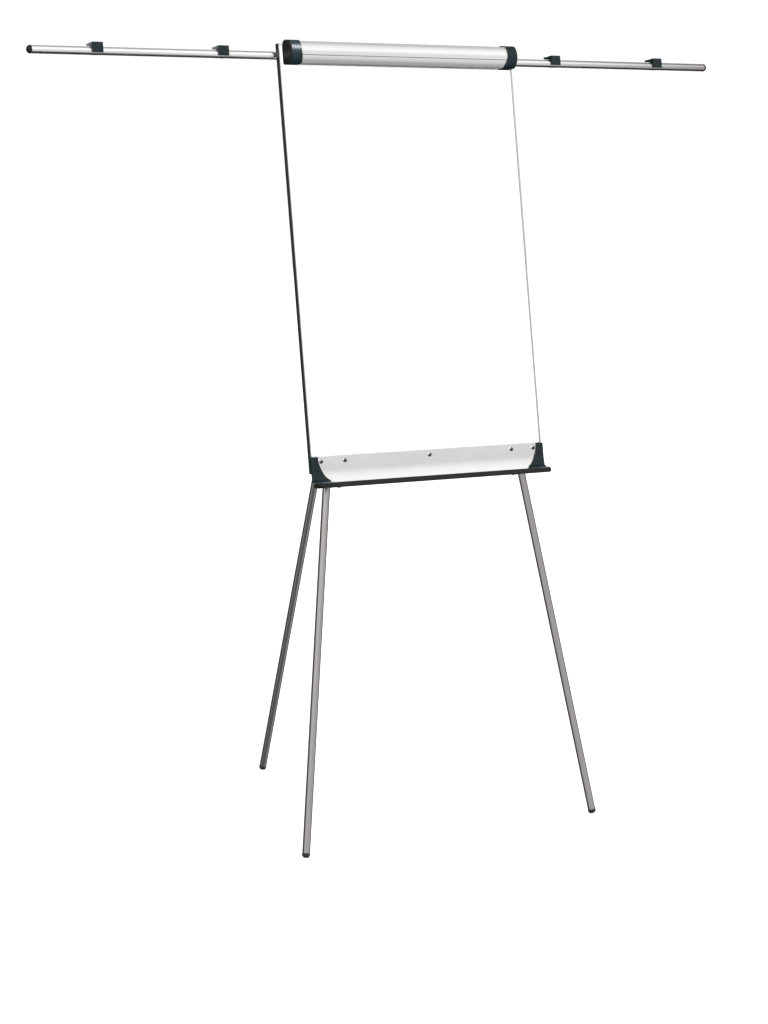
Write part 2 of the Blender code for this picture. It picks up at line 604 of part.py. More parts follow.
def front_leg(board, name, side):
    """A guide behind the board, and the leg that slides in it. Local z runs up the leg."""
    frame = empty(f"leg_axis_{name}", board, (side * LEG_X, LEG_Y, 0), (0, -side * LEG_SPLAY, 0))
    solid(f"leg_guide_{name}", tube(LEG_GUIDE_OUTER, LEG_GUIDE_INNER, LEG_GUIDE_BOTTOM, LEG_GUIDE_TOP), frame,
          finish="tube_metal")
    section = rounded_rectangle((-0.019, -0.0107), (0.019, 0.0150), 0.005)
    saddle = solid(f"guide_saddle_{name}", prism(section, SADDLE_HEIGHT, SADDLE_HEIGHT + 0.022, "Z"), frame)
    combine(saddle, "DIFFERENCE", rod(LEG_GUIDE_OUTER + GAP, 0.90, 0.98, 24), "bore")
    collar(frame, f"leg_collar_{name}", -0.0340, ear_side=-side)
    lever(frame, f"leg_lever_{name}", -0.0340)
    bpy.context.view_layer.update()
    down = frame.matrix_world.to_3x3() @ Vector((0, 0, -1))
    length = frame.matrix_world.translation.z / -down.z
    solid(f"leg_tube_{name}", tube(LEG_RADIUS, LEG_RADIUS - LEG_WALL, FOOT_PLUG - length, LEG_OVERLAP), frame,
          finish="tube_metal")
    foot(frame, f"foot_{name}", length)


def rear_bracket(board):
    """A bracket on the board's back whose two cheeks carry the rear leg's pin."""
    back = BOARD_THICK + GAP
    plate = prism(rounded_rectangle((-0.034, 0.894), (0.034, 0.966), 0.006), back, back + 0.003, "Y")
    bracket = solid("rear_hinge_bracket", plate, board, finish="painted_bracket")
    cheek = [(back + 0.001, 0.900)] + arc((PIVOT_Y, PIVOT_Z), 0.0095, -70, 70, 8) + [(back + 0.001, 0.960)]
    for number, side in enumerate((-1, 1), 1):
        combine(bracket, "UNION", prism(cheek, side * 0.0129, side * 0.0159, "X"), f"cheek_{number}")
    combine(bracket, "DIFFERENCE", along_x(rod(0.0033, -0.02, 0.02, 16), PIVOT_Y, PIVOT_Z), "pin_hole")
    head, shank, end = 0.0052, 0.0030, 0.0162
    profile = [(head * 0.7, -end - 0.0024), (head, -end - 0.0012), (head, -end), (shank, -end), (shank, end),
               (head, end), (head, end + 0.0012), (head * 0.7, end + 0.0024)]
    solid("rear_hinge_pin", along_x(turned(profile, steps=16), PIVOT_Y, PIVOT_Z), board, finish="steel")


def rear_leg(easel, board):
    """The rear leg, in a frame on its hinge pin whose local z runs up the leg."""
    place = easel.matrix_world.inverted() @ (board.matrix_world @ Vector((0, PIVOT_Y, PIVOT_Z)))
    frame = empty("rear_leg_axis", easel, place, (REAR_ANGLE, 0, 0))
    tongue = arc((0, 0), 0.0090, 0, 180, 8) + [(-0.0090, -0.0240), (0.0090, -0.0240)]
    head = solid("rear_leg_head", prism(tongue, -0.0126, 0.0126, "X"), frame)
    combine(head, "UNION", rod(LEG_GUIDE_INNER - GAP, -0.062, -0.020, 24), "plug")
    combine(head, "DIFFERENCE", along_x(rod(0.0033, -0.02, 0.02, 16)), "pin_hole")
    solid("rear_leg_upper", tube(LEG_GUIDE_OUTER, LEG_GUIDE_INNER, REAR_UPPER_BOTTOM, REAR_UPPER_TOP), frame,
          finish="tube_metal")
    collar(frame, "rear_leg_collar", REAR_UPPER_BOTTOM - 0.0041)
    lever(frame, "rear_leg_lever", REAR_UPPER_BOTTOM - 0.0041)
    bpy.context.view_layer.update()
    length = frame.matrix_world.translation.z / math.cos(REAR_ANGLE)
    solid("rear_leg_lower", tube(LEG_RADIUS, LEG_RADIUS - LEG_WALL, FOOT_PLUG - length,
                                 REAR_UPPER_BOTTOM + REAR_OVERLAP), frame, finish="tube_metal")
    foot(frame, "foot_rear", length)


# ---------------------------------------------------------------- assembly


def main():
    clear_scene()
    easel = empty("easel", location=(0, -ORIGIN_Y, 0))
    board = empty("board_frame", easel, (0, 0, BOARD_BASE_Z), (-BOARD_TILT, 0, 0))
    bpy.context.view_layer.update()
    panel(board)
    edge_channels(board)
    pad_pegs(board)
    tray_profile(board)
    tray_lip(board)
    tray_end_cap(board, "tray_end_cap_left", -1)
    tray_end_cap(board, "tray_end_cap_right", 1)
    tray_screws(board)
    clamp_hinge(board)
    clamp = empty("clamp_axis", board, (0, HINGE_Y, HINGE_Z))
    clamp_bar(clamp)
    clamp_caps(clamp)
    clamp_grip(clamp)
    arm_guides(board)
    arms(board)
    front_leg(board, "left", -1)
    front_leg(board, "right", 1)
    rear_bracket(board)
    rear_leg(easel, board)


main()
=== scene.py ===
"""The visual model of a flipchart easel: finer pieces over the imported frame, finishes, light and camera."""

import json
import math

import bmesh
import bpy
from mathutils import Matrix, Vector

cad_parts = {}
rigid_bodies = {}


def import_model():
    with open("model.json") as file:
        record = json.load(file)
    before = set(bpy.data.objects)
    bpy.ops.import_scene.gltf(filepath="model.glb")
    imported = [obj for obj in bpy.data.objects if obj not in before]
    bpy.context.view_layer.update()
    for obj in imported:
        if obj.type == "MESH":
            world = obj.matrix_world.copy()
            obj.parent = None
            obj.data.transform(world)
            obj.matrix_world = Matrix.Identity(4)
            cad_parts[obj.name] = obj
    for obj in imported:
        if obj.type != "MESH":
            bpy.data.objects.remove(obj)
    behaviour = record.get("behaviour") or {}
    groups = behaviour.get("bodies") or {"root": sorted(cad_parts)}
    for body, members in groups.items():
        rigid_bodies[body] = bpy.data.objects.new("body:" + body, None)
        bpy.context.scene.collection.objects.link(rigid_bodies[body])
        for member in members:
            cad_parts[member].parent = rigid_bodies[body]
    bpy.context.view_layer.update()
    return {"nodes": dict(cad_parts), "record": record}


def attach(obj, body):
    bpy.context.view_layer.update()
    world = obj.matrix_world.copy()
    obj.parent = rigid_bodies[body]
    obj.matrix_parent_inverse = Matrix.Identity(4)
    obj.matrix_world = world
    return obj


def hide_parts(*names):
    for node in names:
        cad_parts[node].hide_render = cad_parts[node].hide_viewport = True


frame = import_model()

# Clearance between pieces, and the frame that most pieces are drawn in. A board point is (x, y backwards,
# z up the board), from the middle of the board's lower front edge.
GAP = 0.0003
BOARD = Matrix.Translation((0, -0.3472, 0.8947)) @ Matrix.Rotation(math.radians(-8.2), 4, "X")
BOARD_WIDTH, BOARD_HEIGHT, BOARD_THICK = 0.680, 1.024, 0.0108

# Pen tray.
TRAY_TOP, TRAY_BOTTOM, TRAY_DEPTH, TRAY_WALL = 0.0395, -0.0355, 0.049, 0.0022
TRAY_END, CAP_OUTER, CAP_INNER, LIP_TOP, LIP_THICK = 0.3275, 0.341, 0.294, -0.0230, 0.0034
SCREW_X, SCREW_Z = (-0.312, -0.245, 0.0, 0.245, 0.312), 0.028

# Clamp.
HINGE_Y, HINGE_Z = 0.0040, BOARD_HEIGHT + 0.0042
CLAMP_WALL, CLAMP_HALF, CLAMP_BOTTOM = 0.0018, 0.318, 0.9752
CLAMP_FRONT = ((-0.0341, 1.0210), (-0.0404, 1.0010), (-0.0278, 0.9772))
CLAMP_CAP_OUTER, CLAMP_CAP_WALL = 0.3315, 0.0019
GROOVE_Z = 0.9912

# Arms, clips and legs.
ARM_RADIUS, ARM_WALL, GUIDE_OUTER, GUIDE_INNER, GUIDE_HALF = 0.0096, 0.0012, 0.0109, 0.00995, 0.306
ARMS = {
    "left": {"side": -1, "y": 0.0220, "z": 0.9986, "tip": 0.989, "root": 0.245, "clips": (0.4827, 0.8147)},
    "right": {"side": 1, "y": 0.0460, "z": 1.0012, "tip": 1.007, "root": 0.262, "clips": (0.5063, 0.8363)},
}
PLUG_LENGTH, CLIP_HALF = 0.0095, 0.0137
LEG_RADIUS, LEG_WALL, LEG_GUIDE_OUTER, LEG_GUIDE_INNER = 0.0095, 0.0012, 0.0108, 0.00985
LEG_Y, LEG_X, LEG_SPLAY = 0.0220, 0.2827, math.radians(9.0)
PIVOT_Y, PIVOT_Z, REAR_ANGLE = 0.058, 0.930, math.radians(18.72)
FOOT_RADIUS, FOOT_PLUG = 0.0100, 0.0105
SLEEVE_LOW, SLEEVE_HIGH, COLLAR_LOW, OVERLAP = -0.030, 0.982, -0.0340, 0.100
REAR_SLEEVE_LOW, REAR_SLEEVE_HIGH, REAR_COLLAR_DROP, REAR_OVERLAP = -0.955, -0.0243, 0.0041, 0.110
LEVER_PIN_Y, LEVER_PIN_UP = 0.0198, 0.015

SLOT_OF = {entry["node"]: entry["material_slot"] for entry in frame["record"]["subparts"]}


# ---------------------------------------------------------------- shapes


def moved(bm, matrix):
    bmesh.ops.transform(bm, matrix=matrix, verts=bm.verts)
    return bm


def joined(*meshes):
    whole = bmesh.new()
    for part in meshes:
        data = bpy.data.meshes.new("part")
        part.to_mesh(data)
        part.free()
        whole.from_mesh(data)
        bpy.data.meshes.remove(data)
    return whole


def box(low, high):
    bm = bmesh.new()
    size, middle = Vector(high) - Vector(low), (Vector(high) + Vector(low)) / 2
    bmesh.ops.create_cube(bm, size=1.0, matrix=Matrix.Translation(middle) @ Matrix.Diagonal((*size, 1.0)))
    return bm


def prism(outline, start, end, axis):
    """A solid that carries a closed outline from start to end along one axis."""
    place = {
        "X": lambda a, b, t: (t, a, b),
        "Y": lambda a, b, t: (a, t, b),
        "Z": lambda a, b, t: (a, b, t),
    }[axis]
    bm = bmesh.new()
    near = [bm.verts.new(place(a, b, start)) for a, b in outline]
    far = [bm.verts.new(place(a, b, end)) for a, b in outline]
    bm.faces.new(near)
    bm.faces.new(far[::-1])
    for i in range(len(outline)):
        j = (i + 1) % len(outline)
        bm.faces.new((near[j], near[i], far[i], far[j]))
    return bm


def lofted(loops):
    """A solid through stacked outlines that have the same number of points."""
    bm = bmesh.new()
    rings = [[bm.verts.new(point) for point in loop] for loop in loops]
    bm.faces.new(rings[0])
    bm.faces.new(rings[-1])
    for ring, following in zip(rings, rings[1:]):
        for i in range(len(ring)):
            j = (i + 1) % len(ring)
            bm.faces.new((ring[i], ring[j], following[j], following[i]))
    bmesh.ops.recalc_face_normals(bm, faces=bm.faces)
    return bm


def turned(profile, closed=False, steps=64):
    """A profile of (radius, z) turned about Z. A closed one makes a ring, an open one has capped ends."""
    bm = bmesh.new()
    rows = []
    for radius, z in profile:
        count, turn = (steps if radius else 1), 2 * math.pi / steps
        rows.append([bm.verts.new((radius * math.cos(turn * i), radius * math.sin(turn * i), z))
                     for i in range(count)])
    for lower, upper in zip(rows, rows[1:] + rows[:1] if closed else rows[1:]):
        for i in range(steps):
            j = (i + 1) % steps
            corners = [lower[i % len(lower)], lower[j % len(lower)],
                       upper[j % len(upper)], upper[i % len(upper)]]
            bm.faces.new(list(dict.fromkeys(corners)))
    if not closed:
        for row in (rows[0], rows[-1]):
            if len(row) > 1:
                bm.faces.new(row)
    return bm


def rod(radius, low, high, steps=32):
    return turned([(radius, low), (radius, high)], steps=steps)


def tube(outer, inner, low, high, ease=0.0004, steps=72):
    """A tube with eased ends."""
    mid = ease * 0.3
    profile = [(inner, low), (outer - ease, low), (outer - mid, low + mid), (outer, low + ease),
               (outer, high - ease), (outer - mid, high - mid), (outer - ease, high), (inner, high)]
    return turned(profile, closed=True, steps=steps)


def along_x(bm, y=0.0, z=0.0):
    return moved(bm, Matrix.Translation((0, y, z)) @ Matrix.Rotation(math.radians(90), 4, "Y"))


def along_y(bm, x=0.0, z=0.0):
    return moved(bm, Matrix.Translation((x, 0, z)) @ Matrix.Rotation(math.radians(90), 4, "X"))


def arc(centre, radius, start, end, steps):
    angles = [math.radians(start + (end - start) * i / steps) for i in range(steps + 1)]
    return [(centre[0] + radius * math.cos(a), centre[1] + radius * math.sin(a)) for a in angles]


def arc_through(first, middle, last, steps, grow=0.0):
    """The arc through three points, with its radius made larger by grow."""
    (ax, ay), (bx, by), (cx, cy) = first, middle, last
    double = 2 * (ax * (by - cy) + bx * (cy - ay) + cx * (ay - by))
    a2, b2, c2 = ax * ax + ay * ay, bx * bx + by * by, cx * cx + cy * cy
    centre_x = (a2 * (by - cy) + b2 * (cy - ay) + c2 * (ay - by)) / double
    centre_y = (a2 * (cx - bx) + b2 * (ax - cx) + c2 * (bx - ax)) / double
    radius = math.hypot(ax - centre_x, ay - centre_y) + grow
    start = math.degrees(math.atan2(ay - centre_y, ax - centre_x)) % 360
    end = math.degrees(math.atan2(cy - centre_y, cx - centre_x)) % 360
    return arc((centre_x, centre_y), radius, start, end, steps)


def offset(points, distance, closed=False):
    """A line moved to its left by a distance, with its corners kept."""
    count = len(points)
    result = []
    for i, point in enumerate(points):
        here = Vector(point)
        before = here - Vector(points[i - 1]) if i or closed else None
        after = Vector(points[(i + 1) % count]) - here if i < count - 1 or closed else None
        before = (before or after).normalized()
        after = (after or before).normalized()
        normal = (before + after).normalized()
        side = Vector((-normal.y, normal.x))
        result.append(tuple(here + side * distance / max(normal.dot(before), 0.35)))
    return result


def thick(path, wall):
    return offset(path, wall / 2) + offset(path, -wall / 2)[::-1]


def rounded(points, radius, steps=4, turn=20):
    """Rounds the corners of a closed outline that turn by more than some degrees."""
    result = []
    count = len(points)
    for i, point in enumerate(points):
        here = Vector(point)
        back, on = Vector(points[i - 1]) - here, Vector(points[(i + 1) % count]) - here
        bend = 180 - math.degrees(back.angle(on))
        if bend < turn:
            result.append(tuple(here))
            continue
        reach = min(radius * math.tan(math.radians(bend / 2)), back.length * 0.45, on.length * 0.45)
        start, end = here + back.normalized() * reach, here + on.normalized() * reach
        for k in range(steps + 1):
            t = k / steps
            result.append(tuple(start * (1 - t) ** 2 + here * 2 * t * (1 - t) + end * t * t))
    return result


def rounded_rectangle(low, high, radius, steps=6):
    (x0, y0), (x1, y1) = low, high
    corners = ((x1 - radius, y1 - radius, 0), (x0 + radius, y1 - radius, 90),
               (x0 + radius, y0 + radius, 180), (x1 - radius, y0 + radius, 270))
    return [point for x, y, turn in corners for point in arc((x, y), radius, turn, turn + 90, steps)]


def smooth_line(points, steps=6):
    """A Catmull-Rom curve through the points."""
    full = [2 * Vector(points[0]) - Vector(points[1]), *map(Vector, points),
            2 * Vector(points[-1]) - Vector(points[-2])]
    result = []
    for i in range(1, len(full) - 2):
        p0, p1, p2, p3 = full[i - 1:i + 3]
        for k in range(steps):
            t = k / steps
            result.append(tuple(0.5 * (2 * p1 + (p2 - p0) * t + (2 * p0 - 5 * p1 + 4 * p2 - p3) * t * t
                                       + (3 * p1 - p0 - 3 * p2 + p3) * t ** 3)))
    return result + [tuple(full[-2])]


# ---------------------------------------------------------------- pieces


def raw(name, bm):
    bmesh.ops.recalc_face_normals(bm, faces=bm.faces)
    mesh = bpy.data.meshes.new(name)
    bm.to_mesh(mesh)
    bm.free()
    obj = bpy.data.objects.new(name, mesh)
    bpy.context.scene.collection.objects.link(obj)
    return obj


def combine(obj, operation, bm):
    """Adds, removes or keeps a shape, and applies the Boolean at once."""
    helper = raw("helper", bm)
    modifier = obj.modifiers.new("cut", "BOOLEAN")
    modifier.operation, modifier.solver, modifier.object = operation, "EXACT", helper
    graph = bpy.context.evaluated_depsgraph_get()
    result = bpy.data.meshes.new_from_object(obj.evaluated_get(graph))
    obj.modifiers.clear()
    old, obj.data = obj.data, result
    bpy.data.meshes.remove(old)
    old = helper.data
    bpy.data.objects.remove(helper)
    bpy.data.meshes.remove(old)


def finish_piece(obj, place, body, slot, finish, nodes=(), bevel=0.0, segments=3, angle=32):
    """Shades, bevels and places a drawn piece, and fixes it to its body."""
    mesh = obj.data
    mesh.name = obj.name
    mesh.shade_smooth()
    mesh.set_sharp_from_angle(angle=math.radians(angle))
    mesh.materials.clear()
    mesh.materials.append(FINISHES[finish])
    if bevel:
        edge = obj.modifiers.new("edges", "BEVEL")
        edge.width, edge.segments, edge.limit_method = bevel, segments, "ANGLE"
        edge.angle_limit = math.radians(angle)
        edge.miter_outer = "MITER_ARC"
        edge.use_clamp_overlap = True
        if "sharp_edge" in mesh.attributes:
            mesh.attributes.remove(mesh.attributes["sharp_edge"])
    weighted = obj.modifiers.new("normals", "WEIGHTED_NORMAL")
    weighted.keep_sharp = not bevel
    weighted.weight = 60
    obj.matrix_world = place
    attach(obj, body)
    if nodes:
        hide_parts(*nodes)
    return obj


def piece(name, bm, place, body, node=None, finish=None, slot=None, **look):
    """A piece that stands for one CAD node, or an extra one if node is None."""
    slot = slot or SLOT_OF[node]
    return finish_piece(raw(name, bm), place, body, slot, finish or slot, [node] if node else [], **look)


# ---------------------------------------------------------------- materials


def linked(tree, kind, inputs, **settings):
    node = tree.nodes.new(kind)
    for key, value in settings.items():
        setattr(node, key, value)
    for key, value in inputs.items():
        socket = node.inputs[key]
        if isinstance(value, bpy.types.NodeSocket):
            tree.links.new(value, socket)
        else:
            socket.default_value = value
    return node


def noise(tree, coordinates, scale, detail=3.0, stretch=(1, 1, 1), roughness=0.55):
    scaled = linked(tree, "ShaderNodeMapping", {"Vector": coordinates, "Scale": stretch})
    return linked(tree, "ShaderNodeTexNoise", {"Vector": scaled.outputs["Vector"], "Scale": scale,
                                               "Detail": detail, "Roughness": roughness}).outputs["Fac"]


def spread(tree, value, low, high, start=0.3, end=0.7):
    return linked(tree, "ShaderNodeMapRange", {"Value": value, "From Min": start, "From Max": end,
                                               "To Min": low, "To Max": high}).outputs["Result"]


def mixed(tree, factor, first, second):
    node = linked(tree, "ShaderNodeMix", {}, data_type="RGBA")
    tree.links.new(factor, node.inputs[0])
    for index, colour in ((6, first), (7, second)):
        if isinstance(colour, bpy.types.NodeSocket):
            tree.links.new(colour, node.inputs[index])
        else:
            node.inputs[index].default_value = (*colour, 1.0)
    return node.outputs[2]


def surface(name, dark, light, rough, grain, bump, metallic=0.0, stretch=(1, 1, 1), mottle=35.0, **sockets):
    """A finish with a slow colour change, a roughness that varies, and a fine grain in its height.

    rough is (low, high), grain the scale of the fine noise and bump (strength, distance in metres)."""
    made = bpy.data.materials.new(name)
    made.use_nodes = True
    tree = made.node_tree
    shader = tree.nodes["Principled BSDF"]
    place = linked(tree, "ShaderNodeTexCoord", {}).outputs["Object"]
    slow = noise(tree, place, mottle, 4.0)
    fine = noise(tree, place, grain, 2.0, stretch)
    tree.links.new(mixed(tree, spread(tree, slow, 0, 1), dark, light), shader.inputs["Base Color"])
    streak = linked(tree, "ShaderNodeMath", {0: slow, 1: fine}, operation="ADD").outputs[0]
    tree.links.new(spread(tree, streak, *rough, 0.7, 1.3), shader.inputs["Roughness"])
    height = linked(tree, "ShaderNodeBump", {"Height": fine, "Strength": bump[0], "Distance": bump[1]})
    tree.links.new(height.outputs["Normal"], shader.inputs["Normal"])
    shader.inputs["Metallic"].default_value = metallic
    for socket, value in sockets.items():
        shader.inputs[socket.replace("_", " ")].default_value = value
    return made


def flecked_core():
    """Fibreboard: short fibres in three tones."""
    made = surface("fibreboard", (0.36, 0.34, 0.31), (0.46, 0.44, 0.41), (0.75, 0.9), 900, (0.5, 0.0003))
    tree = made.node_tree
    shader = tree.nodes["Principled BSDF"]
    place = linked(tree, "ShaderNodeTexCoord", {}).outputs["Object"]
    fibres = noise(tree, place, 420, 3.0, (1, 1, 0.20), 0.7)
    others = noise(tree, place, 420, 3.0, (0.20, 1, 1), 0.7)
    first = mixed(tree, spread(tree, fibres, 0, 1, 0.52, 0.62), (0.43, 0.41, 0.38), (0.27, 0.25, 0.22))
    second = mixed(tree, spread(tree, others, 0, 1, 0.55, 0.64), first, (0.60, 0.58, 0.54))
    tree.links.new(second, shader.inputs["Base Color"])
    return made


def painted_light_band(made, axis, start, end, dark, light):
    """Paints light or shade into a finish's colour along one axis of the piece, from the first place to the
    second.
    """
    tree = made.node_tree
    shader = tree.nodes["Principled BSDF"]
    place = linked(tree, "ShaderNodeTexCoord", {}).outputs["Object"]
    along = linked(tree, "ShaderNodeSeparateXYZ", {"Vector": place}).outputs[axis]
    tone = mixed(tree, spread(tree, noise(tree, place, 60.0, 4.0), 0, 1), dark, light)
    usual = shader.inputs["Base Color"].links[0].from_socket
    share = spread(tree, along, 0, 1, start, end)
    tree.links.new(mixed(tree, share, usual, tone), shader.inputs["Base Color"])
    return made


def painted_groove_shade(made):
    """Paints shade into the clamp's colour: a darker band along its pressed line, where the groove is."""
    tree = made.node_tree
    shader = tree.nodes["Principled BSDF"]
    place = linked(tree, "ShaderNodeTexCoord", {}).outputs["Object"]
    height = linked(tree, "ShaderNodeSeparateXYZ", {"Vector": place}).outputs["Z"]
    away = linked(tree, "ShaderNodeMath", {0: height, 1: GROOVE_Z}, operation="SUBTRACT").outputs[0]
    away = linked(tree, "ShaderNodeMath", {0: away}, operation="ABSOLUTE").outputs[0]
    usual = shader.inputs["Base Color"].links[0].from_socket
    tree.links.new(mixed(tree, spread(tree, away, 0, 1, 0.0004, 0.0009), (0.20, 0.19, 0.18), usual),
                   shader.inputs["Base Color"])
    return made


# The stretch of the fine grain along X or up Z, and the two tones of a near-black painted shade on plastic.
BRUSHED_ALONG, BRUSHED_UP = (9, 600, 600), (600, 600, 9)
PAINTED_SHADE_BLACK = ((0.0075, 0.0085, 0.0085), (0.0100, 0.0110, 0.0105))


def plastic(name):
    return surface(name, (0.0048, 0.0130, 0.0168), (0.0060, 0.0156, 0.0198), (0.28, 0.38), 900,
                   (0.08, 0.00008), mottle=60.0, Specular_IOR_Level=0.25)


def arm_metal(name):
    return surface(name, (0.93, 0.92, 0.91), (0.96, 0.95, 0.94), (0.11, 0.16), 1.0, (0.01, 0.00003), 0.97,
                   BRUSHED_ALONG, 18.0)


def frame_metal(name, metallic):
    return surface(name, (0.52, 0.51, 0.50), (0.55, 0.54, 0.53), (0.20, 0.24), 1.0, (0.02, 0.00004), metallic,
                   BRUSHED_UP, 14.0)


# The clamp's aluminium, with painted shade along its pressed groove.
def clamp_metal():
    return painted_groove_shade(surface("clamp_aluminium", (0.735, 0.724, 0.714), (0.760, 0.749, 0.740), (0.19, 0.23), 1.0,
                           (0.02, 0.00004), 0.64, BRUSHED_ALONG, 14.0))


def tray_cap_painted_light_plastic():
    """A painted highlight along the flange's upper edge, and painted shade, near-black, below it."""
    made = painted_light_band(plastic("tray_cap_painted_light_plastic"), "Z", -0.0208, -0.0220, (0.110, 0.140, 0.165),
                    (0.130, 0.160, 0.190))
    return painted_light_band(made, "Z", -0.0236, -0.0245, *PAINTED_SHADE_BLACK)


FINISHES = {
    "white_enamel": surface("white_enamel", (0.905, 0.912, 0.912), (0.930, 0.935, 0.935), (0.08, 0.14), 420,
                            (0.04, 0.0001), mottle=3.0, Coat_Weight=0.5, Coat_Roughness=0.06),
    "board_core": flecked_core(),
    "aluminium": surface("satin_aluminium", (0.750, 0.742, 0.736), (0.780, 0.773, 0.768), (0.19, 0.23), 1.0,
                         (0.02, 0.00004), 0.86, BRUSHED_ALONG, 14.0),
    "clamp_aluminium": clamp_metal(),
    "frame_aluminium": frame_metal("frame_aluminium", 1.0),
    # The left channel: painted shade, nearly black and low in metal, on its outer side and outer strip.
    "painted_shade_aluminium": painted_light_band(frame_metal("painted_shade_aluminium", 0.2), "X", -0.3370, -0.3382,
                                 (0.020, 0.021, 0.021), (0.026, 0.027, 0.027)),
    "arm_metal_left": arm_metal("arm_aluminium_left"),
    # The right rail: a painted reflection that darkens its colour toward the tip.
    "arm_metal_right": painted_light_band(arm_metal("arm_aluminium_right_painted_reflection"), "X", 0.30, 1.0, (0.40, 0.385, 0.375),
                                (0.43, 0.415, 0.405)),
    "tube_metal": surface("plated_tube", (0.410, 0.391, 0.384), (0.430, 0.411, 0.404), (0.13, 0.19), 1.0,
                          (0.01, 0.00003), 0.93, BRUSHED_UP, 18.0),
    "dark_plastic": plastic("moulded_plastic"),
    "tray_cap_painted_light_plastic": tray_cap_painted_light_plastic(),
    # The left clamp cap: painted shade, near-black, on its outer side; the right cap lies outside the band.
    "clamp_cap_painted_shade_plastic": painted_light_band(plastic("clamp_cap_painted_shade_plastic"), "X", -0.3262, -0.3275, *PAINTED_SHADE_BLACK),
    # Painted light: a grey rear on the jaw, lighter than the moulding's own dark plastic.
    "clip_painted_light_plastic": painted_light_band(plastic("clip_painted_light_plastic"), "Y", -0.0145, -0.0125, (0.125, 0.130, 0.140),
                             (0.150, 0.155, 0.165)),
    "lip_plastic": surface("black_strip", (0.0075, 0.0078, 0.0072), (0.0100, 0.0100, 0.0092), (0.34, 0.44),
                           1.0, (0.05, 0.00006), 0.0, (12, 500, 500), 40.0, Specular_IOR_Level=0.30),
    "dark_rubber": surface("rubber", (0.012, 0.012, 0.012), (0.020, 0.020, 0.019), (0.62, 0.82), 700,
                           (0.20, 0.0001), mottle=90.0),
    "dark_screw": surface("black_plated_screw", (0.050, 0.050, 0.052), (0.065, 0.064, 0.064), (0.12, 0.20),
                          500, (0.02, 0.00005), 1.0, mottle=200.0),
    "bright_steel": surface("bright_washer", (0.78, 0.78, 0.78), (0.86, 0.86, 0.86), (0.12, 0.20), 500,
                            (0.02, 0.00005), 1.0, mottle=200.0),
    "steel": surface("zinc_steel", (0.46, 0.47, 0.50), (0.60, 0.60, 0.60), (0.25, 0.40), 200,
                     (0.05, 0.00008), 1.0, mottle=150.0),
    "painted_bracket": surface("powder_coat", (0.030, 0.033, 0.036), (0.045, 0.048, 0.052), (0.35, 0.5), 500,
                               (0.25, 0.0002), mottle=40.0),
}


# ---------------------------------------------------------------- board and tray


def channels():
    half, cover, lip, far, wall = BOARD_WIDTH / 2, 0.0045, 0.0010, BOARD_THICK, 0.0014
    section = [(0, 0), (cover, 0), (cover, lip), (wall, lip), (wall, far - lip), (cover, far - lip),
               (cover, far), (0, far)]
    reach = half - cover - GAP
    shapes = {
        "left": prism([(a - half, b) for a, b in section], 0, BOARD_HEIGHT, "Z"),
        "right": prism([(half - a, b) for a, b in section], 0, BOARD_HEIGHT, "Z"),
        "bottom": prism([(b, a) for a, b in section], -reach, reach, "X"),
        "top": prism([(b, BOARD_HEIGHT - a) for a, b in section], -reach, reach, "X"),
    }
    for name, bm in shapes.items():
        # Only the left channel gets the painted shade on its outer side.
        finish = {"left": "painted_shade_aluminium", "right": "frame_aluminium"}.get(name, "clamp_aluminium")
        piece(f"edge_channel_{name}", bm, BOARD, "board", f"frame_edge_{name}", finish, bevel=0.0003,
              segments=2)


def tray_line(bend_steps=10, cove_steps=18):
    """The middle line of the tray's back and cove, and the place in it where the cove begins."""
    shelf, back = TRAY_BOTTOM + TRAY_WALL / 2, -GAP - TRAY_WALL / 2
    turn, bend_radius, cove_radius = 14, 0.135, 0.014
    drop = (bend_radius - cove_radius) * math.sin(math.radians(turn)) + cove_radius
    bend = arc((back - bend_radius, shelf + drop), bend_radius, 0, -turn, bend_steps)
    inward = Vector((-math.cos(math.radians(turn)), math.sin(math.radians(turn))))
    centre = Vector(bend[-1]) + inward * cove_radius
    return [(back, TRAY_TOP)] + bend + arc(centre, cove_radius, -turn, -90, cove_steps)[1:], bend_steps + 1


def tray():
    line, _ = tray_line()
    shelf = TRAY_BOTTOM + TRAY_WALL / 2
    front = -TRAY_DEPTH + LIP_THICK + GAP + TRAY_WALL / 2
    upturn = [(front + 0.0020, shelf), (front + 0.0006, shelf + 0.0006), (front, shelf + 0.0020),
              (front, LIP_TOP - 0.0035)]
    piece("pen_tray", prism(thick(line + upturn, TRAY_WALL), -TRAY_END, TRAY_END, "X"), BOARD, "board",
          "tray_profile", bevel=0.00035, segments=2)
    strip = rounded_rectangle((-TRAY_DEPTH, TRAY_BOTTOM), (-TRAY_DEPTH + LIP_THICK, LIP_TOP), 0.0015, 8)
    piece("tray_edge_strip", prism(strip, -CAP_INNER + GAP, CAP_INNER - GAP, "X"), BOARD, "board", "tray_lip",
          "lip_plastic", angle=40)
    for name, side in (("left", -1), ("right", 1)):
        tray_cap(name, side)
    for number, x in enumerate(SCREW_X, 1):
        tray_screw(number, x)


